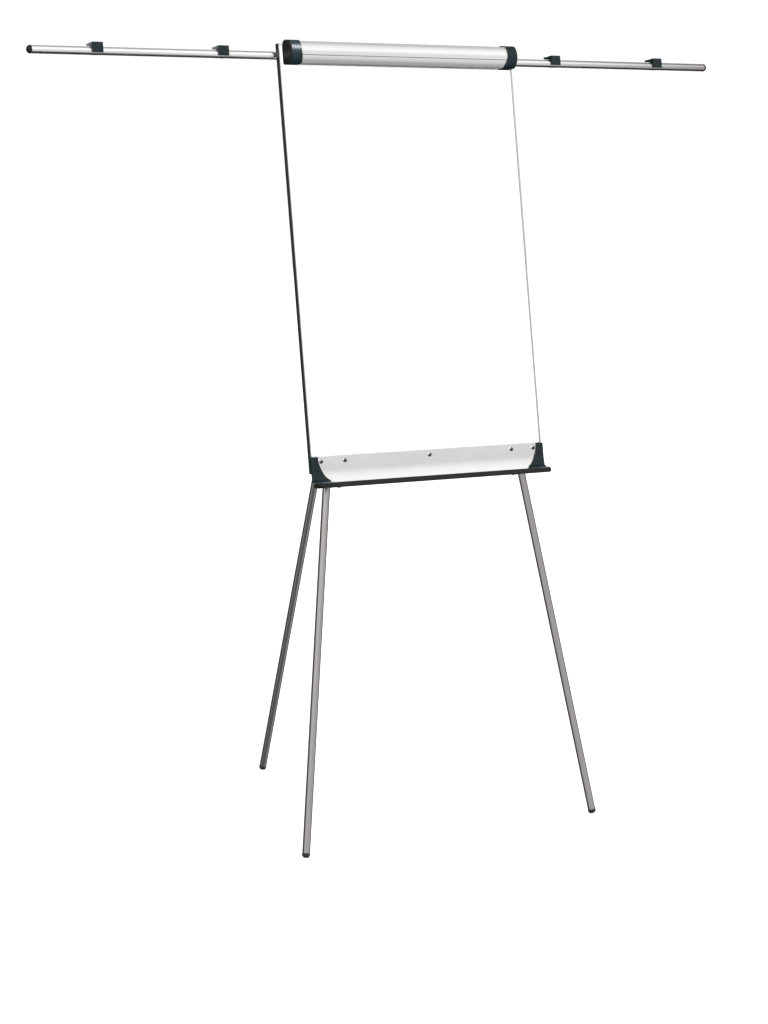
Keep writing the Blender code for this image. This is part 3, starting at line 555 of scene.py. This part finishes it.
def tray_screw(number, x):
    """A domed screw with a crossed slot, on a thin bright washer."""
    face = GAP + TRAY_WALL + GAP
    washer = [(0.0030, face), (0.0059, face), (0.0059, face + 0.00025), (0.0057, face + 0.0004),
              (0.0030, face + 0.0004)]
    piece(f"tray_screw_washer_{number}", along_y(turned(washer, closed=True, steps=48), x, SCREW_Z), BOARD,
          "board", finish="bright_steel", slot="steel")
    shank, head, low, rise = 0.0018, 0.0046, face + 0.00045, 0.0028
    angles = [math.radians(7.5 * i) for i in range(12)]
    dome = [(head * math.cos(a), low + 0.0003 + rise * math.sin(a)) for a in angles]
    profile = [(shank, -0.0082), (shank, low), (head - 0.0002, low), (head, low + 0.0002), *dome,
               (0, low + 0.0003 + rise)]
    screw = raw(f"tray_screw_head_{number}", along_y(turned(profile, steps=48), x, SCREW_Z))
    slots = [box((x - a, -low - 0.0040, SCREW_Z - b), (x + a, -low - 0.0019, SCREW_Z + b))
             for a, b in ((0.0017, 0.0004), (0.0004, 0.0017))]
    for cut in slots:
        combine(screw, "DIFFERENCE", cut)
    node = f"tray_screw_{number}"
    finish_piece(screw, BOARD, "board", SLOT_OF[node], "dark_screw", [node], angle=40)


def tray_cap(name, side):
    """A skin on the tray's end, with a rounded flange in front and an ear up the board."""
    line, cove = tray_line(6, 10)
    face = offset(line[:cove + 1], -TRAY_WALL / 2 - GAP)
    skin = offset(line[:cove + 1], -TRAY_WALL / 2 - GAP - 0.0023)
    top, back, front = TRAY_TOP + 0.0005, -0.0160, LIP_TOP
    outline = [(-TRAY_DEPTH + 0.002, TRAY_BOTTOM), (-TRAY_DEPTH, TRAY_BOTTOM + 0.002),
               (-TRAY_DEPTH, front - 0.0015), (-TRAY_DEPTH + 0.0015, front), (-0.0150, -0.0212)]
    body = [point for point in skin[1:] if point[1] > back + 0.001]
    outline += [(body[-1][0] - 0.0008, back)] + body[::-1] + [(skin[0][0], top), (-GAP, top)]
    outline += offset(line, TRAY_WALL / 2)[1:]
    hollow = [(0.005, TRAY_BOTTOM - 0.005), (-TRAY_DEPTH + LIP_THICK, TRAY_BOTTOM - 0.005),
              (-TRAY_DEPTH + LIP_THICK, front - 0.0024), (-0.0160, -0.0237),
              (body[-1][0] + 0.0008, back - 0.0026)]
    hollow += [point for point in face[1:] if point[1] > back][::-1]
    hollow += [(face[0][0], top + 0.005), (0.005, top + 0.005)]
    block = prism(rounded(outline, 0.003, 3), side * (CAP_OUTER + 0.001), side * CAP_INNER, "X")
    obj = raw(f"tray_end_{name}", block)
    curve = smooth_line([(0.322, top), (0.3200, 0.0250), (0.3130, 0.0060), (0.3040, -0.0080),
                         (CAP_INNER, back)])
    corner = arc((CAP_OUTER - 0.004, top - 0.004), 0.004, 0, 90, 8)
    shape = [(CAP_INNER - 0.001, TRAY_BOTTOM - 0.001), (CAP_OUTER, TRAY_BOTTOM - 0.001)] + corner + curve
    shape += [(CAP_INNER - 0.001, back - 0.0002)]
    combine(obj, "INTERSECT", prism([(side * x, z) for x, z in shape], -0.060, 0.010, "Y"))
    plan_x, plan_y, radius = CAP_OUTER + GAP, -TRAY_DEPTH - GAP, 0.025
    nose = (LIP_TOP - TRAY_BOTTOM) / 2
    quarter, fillet = [math.radians(15 * i) for i in range(7)], 0.0030
    levels = [(TRAY_BOTTOM - 0.002, nose)]
    levels += [(TRAY_BOTTOM + nose * (1 - math.cos(a)), nose * (1 - math.sin(a))) for a in quarter]
    levels += [(LIP_TOP - nose * (1 - math.sin(a)), nose * (1 - math.cos(a))) for a in quarter]
    levels += [(LIP_TOP + fillet * t, nose * (1 - t) ** 3) for t in (0.05, 0.12, 0.25, 0.45, 0.7, 1.0)]
    levels += [(0.050, 0.0)]
    rings = []
    for z, inset in levels:
        ring = [(CAP_INNER - 0.002, 0.002), (CAP_INNER - 0.002, plan_y)]
        for i in range(25):
            a = math.radians(-90 + 90 * i / 24)
            reach = radius - inset * math.sin(math.radians(90 * i / 24)) ** 1.5
            ring.append((plan_x - radius + reach * math.cos(a), plan_y + radius + reach * math.sin(a)))
        rings.append([(side * x, y, z) for x, y in ring + [(plan_x - inset, 0.002)]])
    combine(obj, "INTERSECT", lofted(rings))
    combine(obj, "DIFFERENCE", prism(hollow, side * (TRAY_END + GAP), side * 0.280, "X"))
    node = f"tray_end_cap_{name}"
    # The tray end's finish carries a painted highlight on the flange's top and painted shade below it.
    finish_piece(obj, BOARD, "board", SLOT_OF[node], "tray_cap_painted_light_plastic", [node], bevel=0.0006, segments=3,
                 angle=35)


# ---------------------------------------------------------------- clamp


def clamp():
    knuckle = arc((HINGE_Y, HINGE_Z), 0.0029, 240, 450, 24)
    tail = [(-0.0252, CLAMP_BOTTOM), (-0.0055, CLAMP_BOTTOM), (-0.0055, CLAMP_BOTTOM + 0.0078)]
    path = knuckle + [(-0.0295, 1.0242), (-0.0325, 1.0232)] + arc_through(*CLAMP_FRONT, 260) + tail
    outer, inner = offset(path, -CLAMP_WALL / 2), offset(path, CLAMP_WALL / 2)
    front = outer if min(y for y, _ in outer) < min(y for y, _ in inner) else inner
    groove_deep, groove_wide = 0.0012, 0.00060
    for i, (y, z) in enumerate(front):
        if y < -0.020:
            front[i] = (y + groove_deep * math.exp(-((z - GROOVE_Z) / groove_wide) ** 2), z)
    bar = raw("clamp_profile", prism(inner + outer[::-1], -CLAMP_HALF, CLAMP_HALF, "X"))
    notches = [box((x, -0.014, 1.015), (x + 0.035, 0.012, 1.040)) for x in (-0.320, 0.285)]
    combine(bar, "DIFFERENCE", joined(*notches))
    finish_piece(bar, BOARD, "clamp", SLOT_OF["clamp_bar"], "clamp_aluminium", ["clamp_bar"], angle=34)
    for name, side in (("left", -1), ("right", 1)):
        clamp_cap(name, side)

    grip = rounded_rectangle((-0.0043, CLAMP_BOTTOM - 0.0007), (0.0010, CLAMP_BOTTOM + 0.0083), 0.0010, 5)
    piece("clamp_pad_strip", prism(grip, -0.2920, 0.2920, "X"), BOARD, "clamp", "clamp_grip_strip", angle=40)
    piece("hinge_wire", along_x(rod(0.0017, -0.300, 0.300), HINGE_Y, HINGE_Z), BOARD, "board",
          "clamp_hinge_rod", bevel=0.0003)
    strap_wall, hook_radius = 0.0015, 0.00275
    behind, top = BOARD_THICK + GAP + strap_wall / 2, HINGE_Z + hook_radius
    strap = thick(arc((HINGE_Y, HINGE_Z), hook_radius, 300, 90, 24)
                  + [(behind - 0.0012, top), (behind - 0.0003, top - 0.0004), (behind, top - 0.0012),
                     (behind, 1.0080)], strap_wall)
    for name, side in (("left", -1), ("right", 1)):
        piece(f"hinge_strap_{name}", prism(strap, side * 0.286, side * 0.298, "X"), BOARD, "board",
              f"hinge_lug_{name}", bevel=0.0002, segments=2)
    hook = [(0.0018, -0.0082), (0.0018, -0.0010), (0.0062, -0.0010), (0.0065, -0.0007), (0.0065, 0.0006),
            (0.0058, 0.0012), (0.0040, 0.0020), (0.0035, 0.0032), (0.0035, 0.0128), (0.0040, 0.0134),
            (0.0045, 0.0141), (0.0045, 0.0154), (0.0041, 0.0161), (0.0030, 0.0165)]
    for name, x in (("left", -0.190), ("right", 0.190)):
        piece(f"pad_hook_{name}", along_y(turned(hook, steps=40), x, 0.9935), BOARD, "board",
              f"pad_peg_{name}")


def clamp_cap(name, side):
    """A cap over the clamp's end: rounded at its outer side, open towards the clamp, with a slanted mouth."""
    grow, round_off = CLAMP_WALL / 2 + GAP + CLAMP_CAP_WALL, 0.0050
    bottom = CLAMP_BOTTOM - grow
    section = [(-0.0120, 1.0312), (-0.0322, 1.0272), (-0.0358, 1.0248)]
    section += arc_through(*CLAMP_FRONT, 28, grow)[1:]
    section += [(-0.0262, bottom), (-0.0010, bottom), (-0.0010, 1.0160), (-0.0030, 1.0235), (-0.0070, 1.0285)]
    section = rounded(section, 0.0040, 5, 14)
    inner = offset(section, CLAMP_CAP_WALL, closed=True)
    ys, zs = [y for y, _ in section], [z for _, z in section]
    middle_y, middle_z = (min(ys) + max(ys)) / 2, (min(zs) + max(zs)) / 2
    half_y, half_z = (max(ys) - min(ys)) / 2, (max(zs) - min(zs)) / 2
    loops = []
    for degrees in range(0, 91, 9):
        turn = math.radians(degrees)
        inset, x = round_off * (1 - math.sin(turn)), CLAMP_CAP_OUTER - round_off * (1 - math.cos(turn))
        loops.append([(x, middle_y + (y - middle_y) * (1 - inset / half_y),
                       middle_z + (z - middle_z) * (1 - inset / half_z)) for y, z in section])
    mouth = [0.300 - 0.007 * min(max((0.998 - z) / 0.030, 0), 1) for _, z in section]
    loops += [[(x, y, z) for x, (y, z) in zip(mouth, outline)] for outline in (section, inner)]
    loops.append([(CLAMP_HALF + GAP, y, z) for y, z in inner])
    bm = lofted([[(side * x, y, z) for x, y, z in loop] for loop in loops])
    # The finish paints shade, near-black, on the left cap's outer side only.
    piece(f"clamp_end_{name}", bm, BOARD, "clamp", f"clamp_cap_{name}", "clamp_cap_painted_shade_plastic", angle=50)


# ---------------------------------------------------------------- arms and clips


def clip(place, side_name, where):
    """A clasp round the arm, and a jaw that turns on the clasp's stub pins."""
    name, pin = f"{side_name}_{where}", Vector((0.0040, 0.0150))
    inner, outer, wide = ARM_RADIUS + GAP, 0.0122, 0.0098
    clasp = arc((0, 0), outer, -45, 118, 40) + arc((0, 0), inner, 118, -45, 40)
    saddle = raw(f"clip_clasp_{name}", prism(clasp, -wide, wide, "X"))
    ear = [(0.0008, 0.0110), (0.0072, 0.0085)] + arc(pin, 0.0026, -10, 190, 16)
    combine(saddle, "UNION", prism(ear, -0.0030, 0.0030, "X"))
    combine(saddle, "UNION", along_x(rod(0.0013, -0.0085, 0.0085, 24), *pin))
    node = f"clip_saddle_{name}"
    finish_piece(saddle, place, f"clip_{name}", SLOT_OF[node], "dark_plastic", [node], bevel=0.00025,
                 segments=2)

    far = 0.0134
    claw = [(-far + 0.0004, 0.0189), (-far, 0.0180)]
    claw += arc((0, 0), far, 180, 204, 8) + arc((0, 0), inner + 0.0003, 207, 150, 18)
    claw += [(-0.0066, 0.0128), (0.0098, 0.0128), (0.0190, 0.0142), (0.0295, 0.0162), (0.0305, 0.0178),
             (0.0302, 0.0205), (0.0295, 0.0217), (0.0100, 0.0196), (0.0070, 0.0189)]
    claw = [(y - pin.x, z - pin.y) for y, z in claw]
    jaw = raw(f"clip_finger_{name}", prism(claw, -CLIP_HALF, CLIP_HALF, "X"))
    room = [(-0.0045, -0.006), (0.0045, -0.006), (0.0040, 0.0030), (-0.0040, 0.0030)]
    combine(jaw, "DIFFERENCE", prism(room, -0.0033, 0.0033, "X"))
    combine(jaw, "DIFFERENCE", along_x(rod(0.0016, -0.0088, 0.0088, 24)))
    tab, full = 0.0068, 0.0160
    sides = []
    for side in (-1, 1):
        waste = [(side * full, 0.0015), (side * full, 0.050), (side * tab, 0.050), (side * tab, 0.0075)]
        sides.append(prism(rounded(waste, 0.002, 3), -0.010, 0.012, "Z"))
    combine(jaw, "DIFFERENCE", joined(*sides))
    slope, groove_half = 0.11, 0.0080
    grooves = []
    for y in (0.0185, 0.0208, 0.0231):
        floor_z = 0.0046 + slope * y
        cut = [(y, floor_z), (y + 0.0010, floor_z + 0.0001), (y + 0.0012, 0.012), (y - 0.0002, 0.012)]
        grooves.append(prism(cut, -groove_half, groove_half, "X"))
    combine(jaw, "DIFFERENCE", joined(*grooves))
    node = f"clip_jaw_{name}"
    # Only the left jaws get the painted light on their rear; the right ones stay dark all over.
    finish = "clip_painted_light_plastic" if side_name == "left" else "dark_plastic"
    finish_piece(jaw, place @ Matrix.Translation((0, *pin)), f"jaw_{name}", SLOT_OF[node], finish, [node],
                 bevel=0.0003, segments=2)


def arms():
    for name, arm in ARMS.items():
        side, seam = arm["side"], arm["tip"] - PLUG_LENGTH
        place = BOARD @ Matrix.Translation((0, arm["y"], arm["z"]))
        guide = along_x(tube(GUIDE_OUTER, GUIDE_INNER, -GUIDE_HALF, GUIDE_HALF))
        piece(f"arm_sleeve_{name}", guide, place, "board", f"arm_guide_{name}")
        low, high = sorted((side * arm["root"], side * seam))
        # The right rail's finish carries a painted reflection, darker toward the tip; the left one has none.
        piece(f"arm_rail_{name}", along_x(tube(ARM_RADIUS, ARM_RADIUS - ARM_WALL, low, high, 0.0006)), place,
              f"arm_{name}", f"arm_tube_{name}", f"arm_metal_{name}")
        stem, cap = ARM_RADIUS - ARM_WALL - GAP, ARM_RADIUS + 0.0003
        collar_end = 0.0010
        rise, angles = PLUG_LENGTH - collar_end, [math.radians(6 * i) for i in range(15)]
        dome = [(cap * math.cos(a), collar_end + rise * math.sin(a)) for a in angles]
        profile = [(stem - 0.0006, -0.015), (stem, -0.0144), (stem, GAP), (cap - 0.0004, GAP),
                   (cap - 0.0001, 0.0005), *dome, (0, PLUG_LENGTH)]
        outwards = Matrix.Translation((side * seam, 0, 0)) @ Matrix.Rotation(math.radians(90 * side), 4, "Y")
        piece(f"arm_plug_{name}", moved(turned(profile), outwards), place, f"arm_{name}", f"arm_tip_{name}",
              "lip_plastic", angle=50)
        for where, distance in zip(("inner", "outer"), arm["clips"]):
            clip(place @ Matrix.Translation((side * distance, 0, 0)), name, where)
    for name, side in (("left", -1), ("right", 1)):
        section = rounded_rectangle((BOARD_THICK + GAP, 0.9845), (0.0600, 1.0170), 0.004)
        block = raw(f"arm_holder_{name}", prism(section, side * 0.262, side * 0.280, "X"))
        for arm in ARMS.values():
            bore = along_x(rod(GUIDE_OUTER + GAP, -0.35, 0.35, 72), arm["y"], arm["z"])
            combine(block, "DIFFERENCE", bore)
        node = f"arm_block_{name}"
        finish_piece(block, BOARD, "board", SLOT_OF[node], "dark_plastic", [node], bevel=0.0006)


# ---------------------------------------------------------------- legs


def foot(name, place, distance, body):
    """A rubber plug with a ring groove and a round end, cut flat where it meets the floor."""
    stem, round_off = LEG_RADIUS - LEG_WALL - GAP, 0.0078
    corner = arc((FOOT_RADIUS - round_off, round_off), round_off, -90, 0, 16)
    rings = [(FOOT_RADIUS, 0.0082), (FOOT_RADIUS - 0.0005, 0.0085), (FOOT_RADIUS - 0.0005, 0.0090),
             (FOOT_RADIUS, 0.0093), (FOOT_RADIUS, 0.0098)]
    profile = [*corner, *rings, (FOOT_RADIUS - 0.0005, FOOT_PLUG - GAP), (stem, FOOT_PLUG - GAP),
               (stem, FOOT_PLUG + 0.020)]
    at = place @ Matrix.Translation((0, 0, -distance))
    obj = raw(f"{name}_cap", turned(profile))
    ground = moved(box((-0.05, -0.05, -0.05), (0.05, 0.05, 0.0)),
                   Matrix.Translation((at.translation.x, at.translation.y, 0)))
    combine(obj, "DIFFERENCE", moved(ground, at.inverted()))
    finish_piece(obj, at, body, SLOT_OF[name], "dark_rubber", [name], angle=45)


def collar(node, place, bottom, body, ear_side=0):
    """A ribbed lock collar with two ears for its lever. A front leg's has a wing behind the board."""
    top, lip, radius, rib = bottom + 0.030, 0.0037, 0.0142, 0.0045
    profile = [(LEG_RADIUS + GAP, bottom), (radius - 0.0010, bottom), (radius - 0.0004, bottom + 0.0004),
               (radius, bottom + 0.0012)]
    for step in range(5):
        z = bottom + rib + step * rib
        profile += [(radius, z), (radius - 0.0005, z + 0.0005), (radius - 0.0005, z + 0.0011),
                    (radius, z + 0.0016)]
    profile += [(radius, top - 0.0012), (radius - 0.0004, top - 0.0004), (radius - 0.0010, top),
                (LEG_GUIDE_OUTER + GAP, top), (LEG_GUIDE_OUTER + GAP, bottom + lip),
                (LEG_RADIUS + GAP, bottom + lip)]
    obj = raw(f"{node}_shell", turned(profile, closed=True))
    pin_y, pin_z = LEVER_PIN_Y, bottom + LEVER_PIN_UP
    ear = [(0.0100, pin_z - 0.009)] + arc((pin_y, pin_z), 0.0042, -75, 75, 16) + [(0.0100, pin_z + 0.009)]
    for side in (-1, 1):
        combine(obj, "UNION", prism(ear, side * 0.0066, side * 0.0094, "X"))
    combine(obj, "DIFFERENCE", along_x(rod(0.0018, -0.02, 0.02, 24), pin_y, pin_z))
    if ear_side:
        wing = [(ear_side * x, z) for x, z in
                rounded_rectangle((0.0112, bottom + 0.002), (0.0360, bottom + 0.056), 0.004)]
        combine(obj, "UNION", prism(wing, -0.0107, -0.0070, "Y"))
    finish_piece(obj, place, body, SLOT_OF[node], "dark_plastic", [node], bevel=0.00025, segments=2, angle=40)


def lever(node, place, bottom, body):
    handle = arc((0, 0), 0.0048, 180, 330, 20)
    handle += [(0.0034, 0.0060), (0.0040, 0.0420), (0.0028, 0.0450), (-0.0012, 0.0445), (-0.0022, 0.0060)]
    obj = raw(f"{node}_cam", prism(rounded(handle, 0.0015, 4, 25), -0.0062, 0.0062, "X"))
    combine(obj, "UNION", along_x(rod(0.0015, -0.0092, 0.0092, 24)))
    grooves = [box((-0.0070, 0.0033, z), (0.0070, 0.0050, z + 0.0011))
               for z in (0.030, 0.0325, 0.035, 0.0375)]
    combine(obj, "DIFFERENCE", joined(*grooves))
    at = place @ Matrix.Translation((0, LEVER_PIN_Y, bottom + LEVER_PIN_UP))
    finish_piece(obj, at, body, SLOT_OF[node], "dark_plastic", [node], bevel=0.0004, segments=2)


def legs():
    for name, side in (("left", -1), ("right", 1)):
        splay = Matrix.Rotation(-side * LEG_SPLAY, 4, "Y")
        place = BOARD @ Matrix.Translation((side * LEG_X, LEG_Y, 0)) @ splay
        sleeve = tube(LEG_GUIDE_OUTER, LEG_GUIDE_INNER, SLEEVE_LOW, SLEEVE_HIGH)
        piece(f"leg_sleeve_{name}", sleeve, place, "board", f"leg_guide_{name}")
        section = rounded_rectangle((-0.019, -0.0107), (0.019, 0.0150), 0.005)
        saddle = raw(f"leg_saddle_{name}", prism(section, 0.930, 0.952, "Z"))
        combine(saddle, "DIFFERENCE", rod(LEG_GUIDE_OUTER + GAP, 0.90, 0.98, 72))
        node = f"guide_saddle_{name}"
        finish_piece(saddle, place, "board", SLOT_OF[node], "dark_plastic", [node], bevel=0.0008)
        collar(f"leg_collar_{name}", place, COLLAR_LOW, "board", -side)
        lever(f"leg_lever_{name}", place, COLLAR_LOW, f"lever_{name}")
        down = place.to_3x3() @ Vector((0, 0, -1))
        length = place.translation.z / -down.z
        drawn = tube(LEG_RADIUS, LEG_RADIUS - LEG_WALL, FOOT_PLUG - length, OVERLAP)
        piece(f"leg_rod_{name}", drawn, place, f"leg_{name}", f"leg_tube_{name}")
        foot(f"foot_{name}", place, length, f"leg_{name}")

    back, cheek_in, cheek_out, bore = BOARD_THICK + GAP, 0.0129, 0.0159, 0.0033
    plate = rounded_rectangle((-0.034, 0.894), (0.034, 0.966), 0.006)
    bracket = raw("rear_bracket_plate", prism(plate, back, back + 0.003, "Y"))
    cheek = [(back + 0.001, 0.900)] + arc((PIVOT_Y, PIVOT_Z), 0.0095, -70, 70, 24) + [(back + 0.001, 0.960)]
    for side in (-1, 1):
        combine(bracket, "UNION", prism(cheek, side * cheek_in, side * cheek_out, "X"))
    combine(bracket, "DIFFERENCE", along_x(rod(bore, -0.02, 0.02, 32), PIVOT_Y, PIVOT_Z))
    node = "rear_hinge_bracket"
    finish_piece(bracket, BOARD, "board", SLOT_OF[node], "painted_bracket", [node], bevel=0.0005)
    head, shank, end = 0.0052, 0.0030, cheek_out + GAP
    half = [(shank, end), (head, end), (head, end + 0.0010), (head * 0.92, end + 0.0018),
            (head * 0.7, end + 0.0024)]
    profile = [(r, -z) for r, z in half[::-1]] + half
    piece("rear_pivot_pin", along_x(turned(profile, steps=48), PIVOT_Y, PIVOT_Z), BOARD, "board",
          "rear_hinge_pin", angle=40)

    place = Matrix.Translation(BOARD @ Vector((0, PIVOT_Y, PIVOT_Z))) @ Matrix.Rotation(REAR_ANGLE, 4, "X")
    tongue = arc((0, 0), 0.0090, 0, 180, 24) + [(-0.0090, -0.0240), (0.0090, -0.0240)]
    top = raw("rear_leg_tongue", prism(tongue, -cheek_in + GAP, cheek_in - GAP, "X"))
    combine(top, "UNION", rod(LEG_GUIDE_INNER - GAP, -0.062, -0.020, 48))
    combine(top, "DIFFERENCE", along_x(rod(bore, -0.02, 0.02, 32)))
    node = "rear_leg_head"
    finish_piece(top, place, "rear_upper", SLOT_OF[node], "dark_plastic", [node], bevel=0.0005)
    sleeve = tube(LEG_GUIDE_OUTER, LEG_GUIDE_INNER, REAR_SLEEVE_LOW, REAR_SLEEVE_HIGH)
    piece("rear_leg_sleeve", sleeve, place, "rear_upper", "rear_leg_upper")
    collar("rear_leg_collar", place, REAR_SLEEVE_LOW - REAR_COLLAR_DROP, "rear_upper")
    lever("rear_leg_lever", place, REAR_SLEEVE_LOW - REAR_COLLAR_DROP, "lever_rear")
    length = place.translation.z / math.cos(REAR_ANGLE)
    drawn = tube(LEG_RADIUS, LEG_RADIUS - LEG_WALL, FOOT_PLUG - length, REAR_SLEEVE_LOW + REAR_OVERLAP)
    piece("rear_leg_rod", drawn, place, "rear_lower", "rear_leg_lower")
    foot("foot_rear", place, length, "rear_lower")


# ---------------------------------------------------------------- stage


def floor():
    bm = bmesh.new()
    bmesh.ops.create_circle(bm, cap_ends=True, radius=40.0, segments=96)
    plane = raw("floor", bm)
    made = bpy.data.materials.new("pale_floor")
    made.use_nodes = True
    tree = made.node_tree
    shader = tree.nodes["Principled BSDF"]
    place = linked(tree, "ShaderNodeTexCoord", {}).outputs["Object"]
    tone = mixed(tree, spread(tree, noise(tree, place, 2.0), 0, 1), (0.90, 0.90, 0.90), (0.92, 0.92, 0.92))
    tree.links.new(tone, shader.inputs["Base Color"])
    shader.inputs["Roughness"].default_value = 0.9
    shader.inputs["Specular IOR Level"].default_value = 0.1
    shader.inputs["Emission Color"].default_value = (1, 1, 1, 1)
    shader.inputs["Emission Strength"].default_value = 0.30
    plane.data.materials.append(made)
    plane.visible_glossy = False


def fade(tree, value, start, end, low, high):
    inputs = {"Value": value, "From Min": start, "From Max": end, "To Min": low, "To Max": high}
    return linked(tree, "ShaderNodeMapRange", inputs, interpolation_type="SMOOTHSTEP").outputs["Result"]


def studio():
    """A tent, bright in front and dark behind, that only reflections show. All else sees plain white."""
    world = bpy.data.worlds.new("studio")
    bpy.context.scene.world = world
    world.use_nodes = True
    world.cycles.sampling_method = "NONE"
    tree = world.node_tree
    tree.nodes.clear()
    ray = linked(tree, "ShaderNodeTexCoord", {}).outputs["Generated"]
    path = linked(tree, "ShaderNodeLightPath", {})
    ahead = linked(tree, "ShaderNodeVectorMath", {0: ray, 1: (-0.249, -0.968, 0.0)}, operation="DOT_PRODUCT")
    axes = linked(tree, "ShaderNodeSeparateXYZ", {"Vector": ray})
    height = axes.outputs["Z"]
    mask = linked(tree, "ShaderNodeMath", {0: fade(tree, ahead.outputs["Value"], -0.10, 0.16, 0.02, 1.0),
                                           1: fade(tree, height, 0.30, 0.60, 0.0, 0.42)},
                  operation="MAXIMUM").outputs[0]
    behind = linked(tree, "ShaderNodeVectorMath", {0: ray, 1: (0.087, 0.996, 0.0)}, operation="DOT_PRODUCT")
    glow = fade(tree, behind.outputs["Value"], 0.84, 0.92, 0.0, 0.45)
    mask = linked(tree, "ShaderNodeMath", {0: mask, 1: glow}, operation="MAXIMUM").outputs[0]
    ramp = linked(tree, "ShaderNodeValToRGB", {"Fac": linked(
        tree, "ShaderNodeMapRange", {"Value": height, "From Min": -1.0, "From Max": 1.0}).outputs["Result"]})
    top_level = 1.5
    stops = [(-1.0, 0.01), (-0.80, 0.03), (-0.76, 0.15), (-0.70, 0.42), (-0.50, 0.66), (-0.20, 0.76),
             (0.0, 0.78), (0.13, 0.70), (0.17, 0.86), (0.21, 0.96), (0.28, 1.16), (0.45, 1.36), (0.60, 1.15),
             (0.76, 0.95)]
    elements = ramp.color_ramp.elements
    while len(elements) > 1:
        elements.remove(elements[-1])
    for index, (z, level) in enumerate(stops):
        stop = elements[0] if index == 0 else elements.new((z + 1) / 2)
        stop.position = (z + 1) / 2
        stop.color = (*[level / top_level] * 3, 1.0)
    corner = linked(tree, "ShaderNodeMath", {0: fade(tree, axes.outputs["X"], -0.15, 0.40, 1.0, 0.0),
                                             1: fade(tree, height, -0.55, -0.28, 0.78, 0.0)},
                    operation="MULTIPLY").outputs[0]
    shade = linked(tree, "ShaderNodeMath", {0: 1.0, 1: corner}, operation="SUBTRACT").outputs[0]
    total = ramp.outputs["Color"]
    for value in (shade, mask, top_level):
        total = linked(tree, "ShaderNodeMath", {0: total, 1: value}, operation="MULTIPLY").outputs[0]
    seen = linked(tree, "ShaderNodeBackground", {"Color": total, "Strength": 1.0})
    soft = linked(tree, "ShaderNodeBackground", {"Color": (1.0, 1.0, 1.0, 1.0), "Strength": 1.35})
    plain = linked(tree, "ShaderNodeBackground", {"Color": (1.0, 1.0, 1.0, 1.0), "Strength": 1.05})
    first = linked(tree, "ShaderNodeMixShader", {0: path.outputs["Is Diffuse Ray"], 1: seen.outputs[0],
                                                 2: soft.outputs[0]})
    last = linked(tree, "ShaderNodeMixShader", {0: path.outputs["Is Camera Ray"], 1: first.outputs[0],
                                                2: plain.outputs[0]})
    linked(tree, "ShaderNodeOutputWorld", {"Surface": last.outputs[0]})
    bpy.context.scene.view_settings.view_transform = "Standard"


def lamp(name, place, target, size, energy, receivers):
    """A soft box that lights only the pieces whose names start with one of the receivers."""
    data = bpy.data.lights.new(name, "AREA")
    data.shape, data.size, data.size_y, data.energy = "RECTANGLE", size, size, energy
    obj = bpy.data.objects.new(name, data)
    bpy.context.scene.collection.objects.link(obj)
    obj.location = place
    obj.rotation_euler = (Vector(place) - Vector(target)).to_track_quat("Z", "Y").to_euler()
    lit = bpy.data.collections.new(f"{name}_receivers")
    for other in bpy.context.scene.objects:
        if other.name.startswith(receivers):
            lit.objects.link(other)
    obj.light_linking.receiver_collection = lit


def camera():
    turn_left, tilt_down = 33.411, 6.882
    data = bpy.data.cameras.new("camera")
    data.lens, data.sensor_width, data.clip_end = 98.826, 36.0, 200.0
    obj = bpy.data.objects.new("camera", data)
    bpy.context.scene.collection.objects.link(obj)
    obj.location = (-3.8420, -5.9679, 1.6038)
    obj.rotation_euler = (math.radians(90 - tilt_down), 0, math.radians(-turn_left))
    bpy.context.scene.camera = obj


def kept_nodes():
    """The CAD nodes whose shape is right keep it and get a finish."""
    for node, finish in (("writing_sheet", "white_enamel"), ("panel_core", "board_core")):
        obj = frame["nodes"][node]
        obj.data.materials.clear()
        obj.data.materials.append(FINISHES[finish])
    frame["nodes"]["writing_sheet"].visible_glossy = False


camera()
kept_nodes()
channels()
tray()
clamp()
arms()
legs()
floor()
studio()
lamp("cap_light", (0.49, -1.15, 2.74), (-0.30, -0.25, 1.88), 0.5, 40.0, ("clamp_end_left",))
lamp("screw_light", (-0.50, -2.07, 2.70), (0.0, -0.40, 0.91), 1.3, 110.0, ("tray_screw",))
# These pieces don't darken what is round them, and the next ones are not seen in reflections.
for shadeless in ("clamp_profile", "clamp_end_left", "clamp_end_right"):
    bpy.data.objects[shadeless].visible_diffuse = False
for unmirrored in ("edge_channel_left", "clamp_end_left", "hinge_strap_left", "hinge_wire"):
    bpy.data.objects[unmirrored].visible_glossy = False
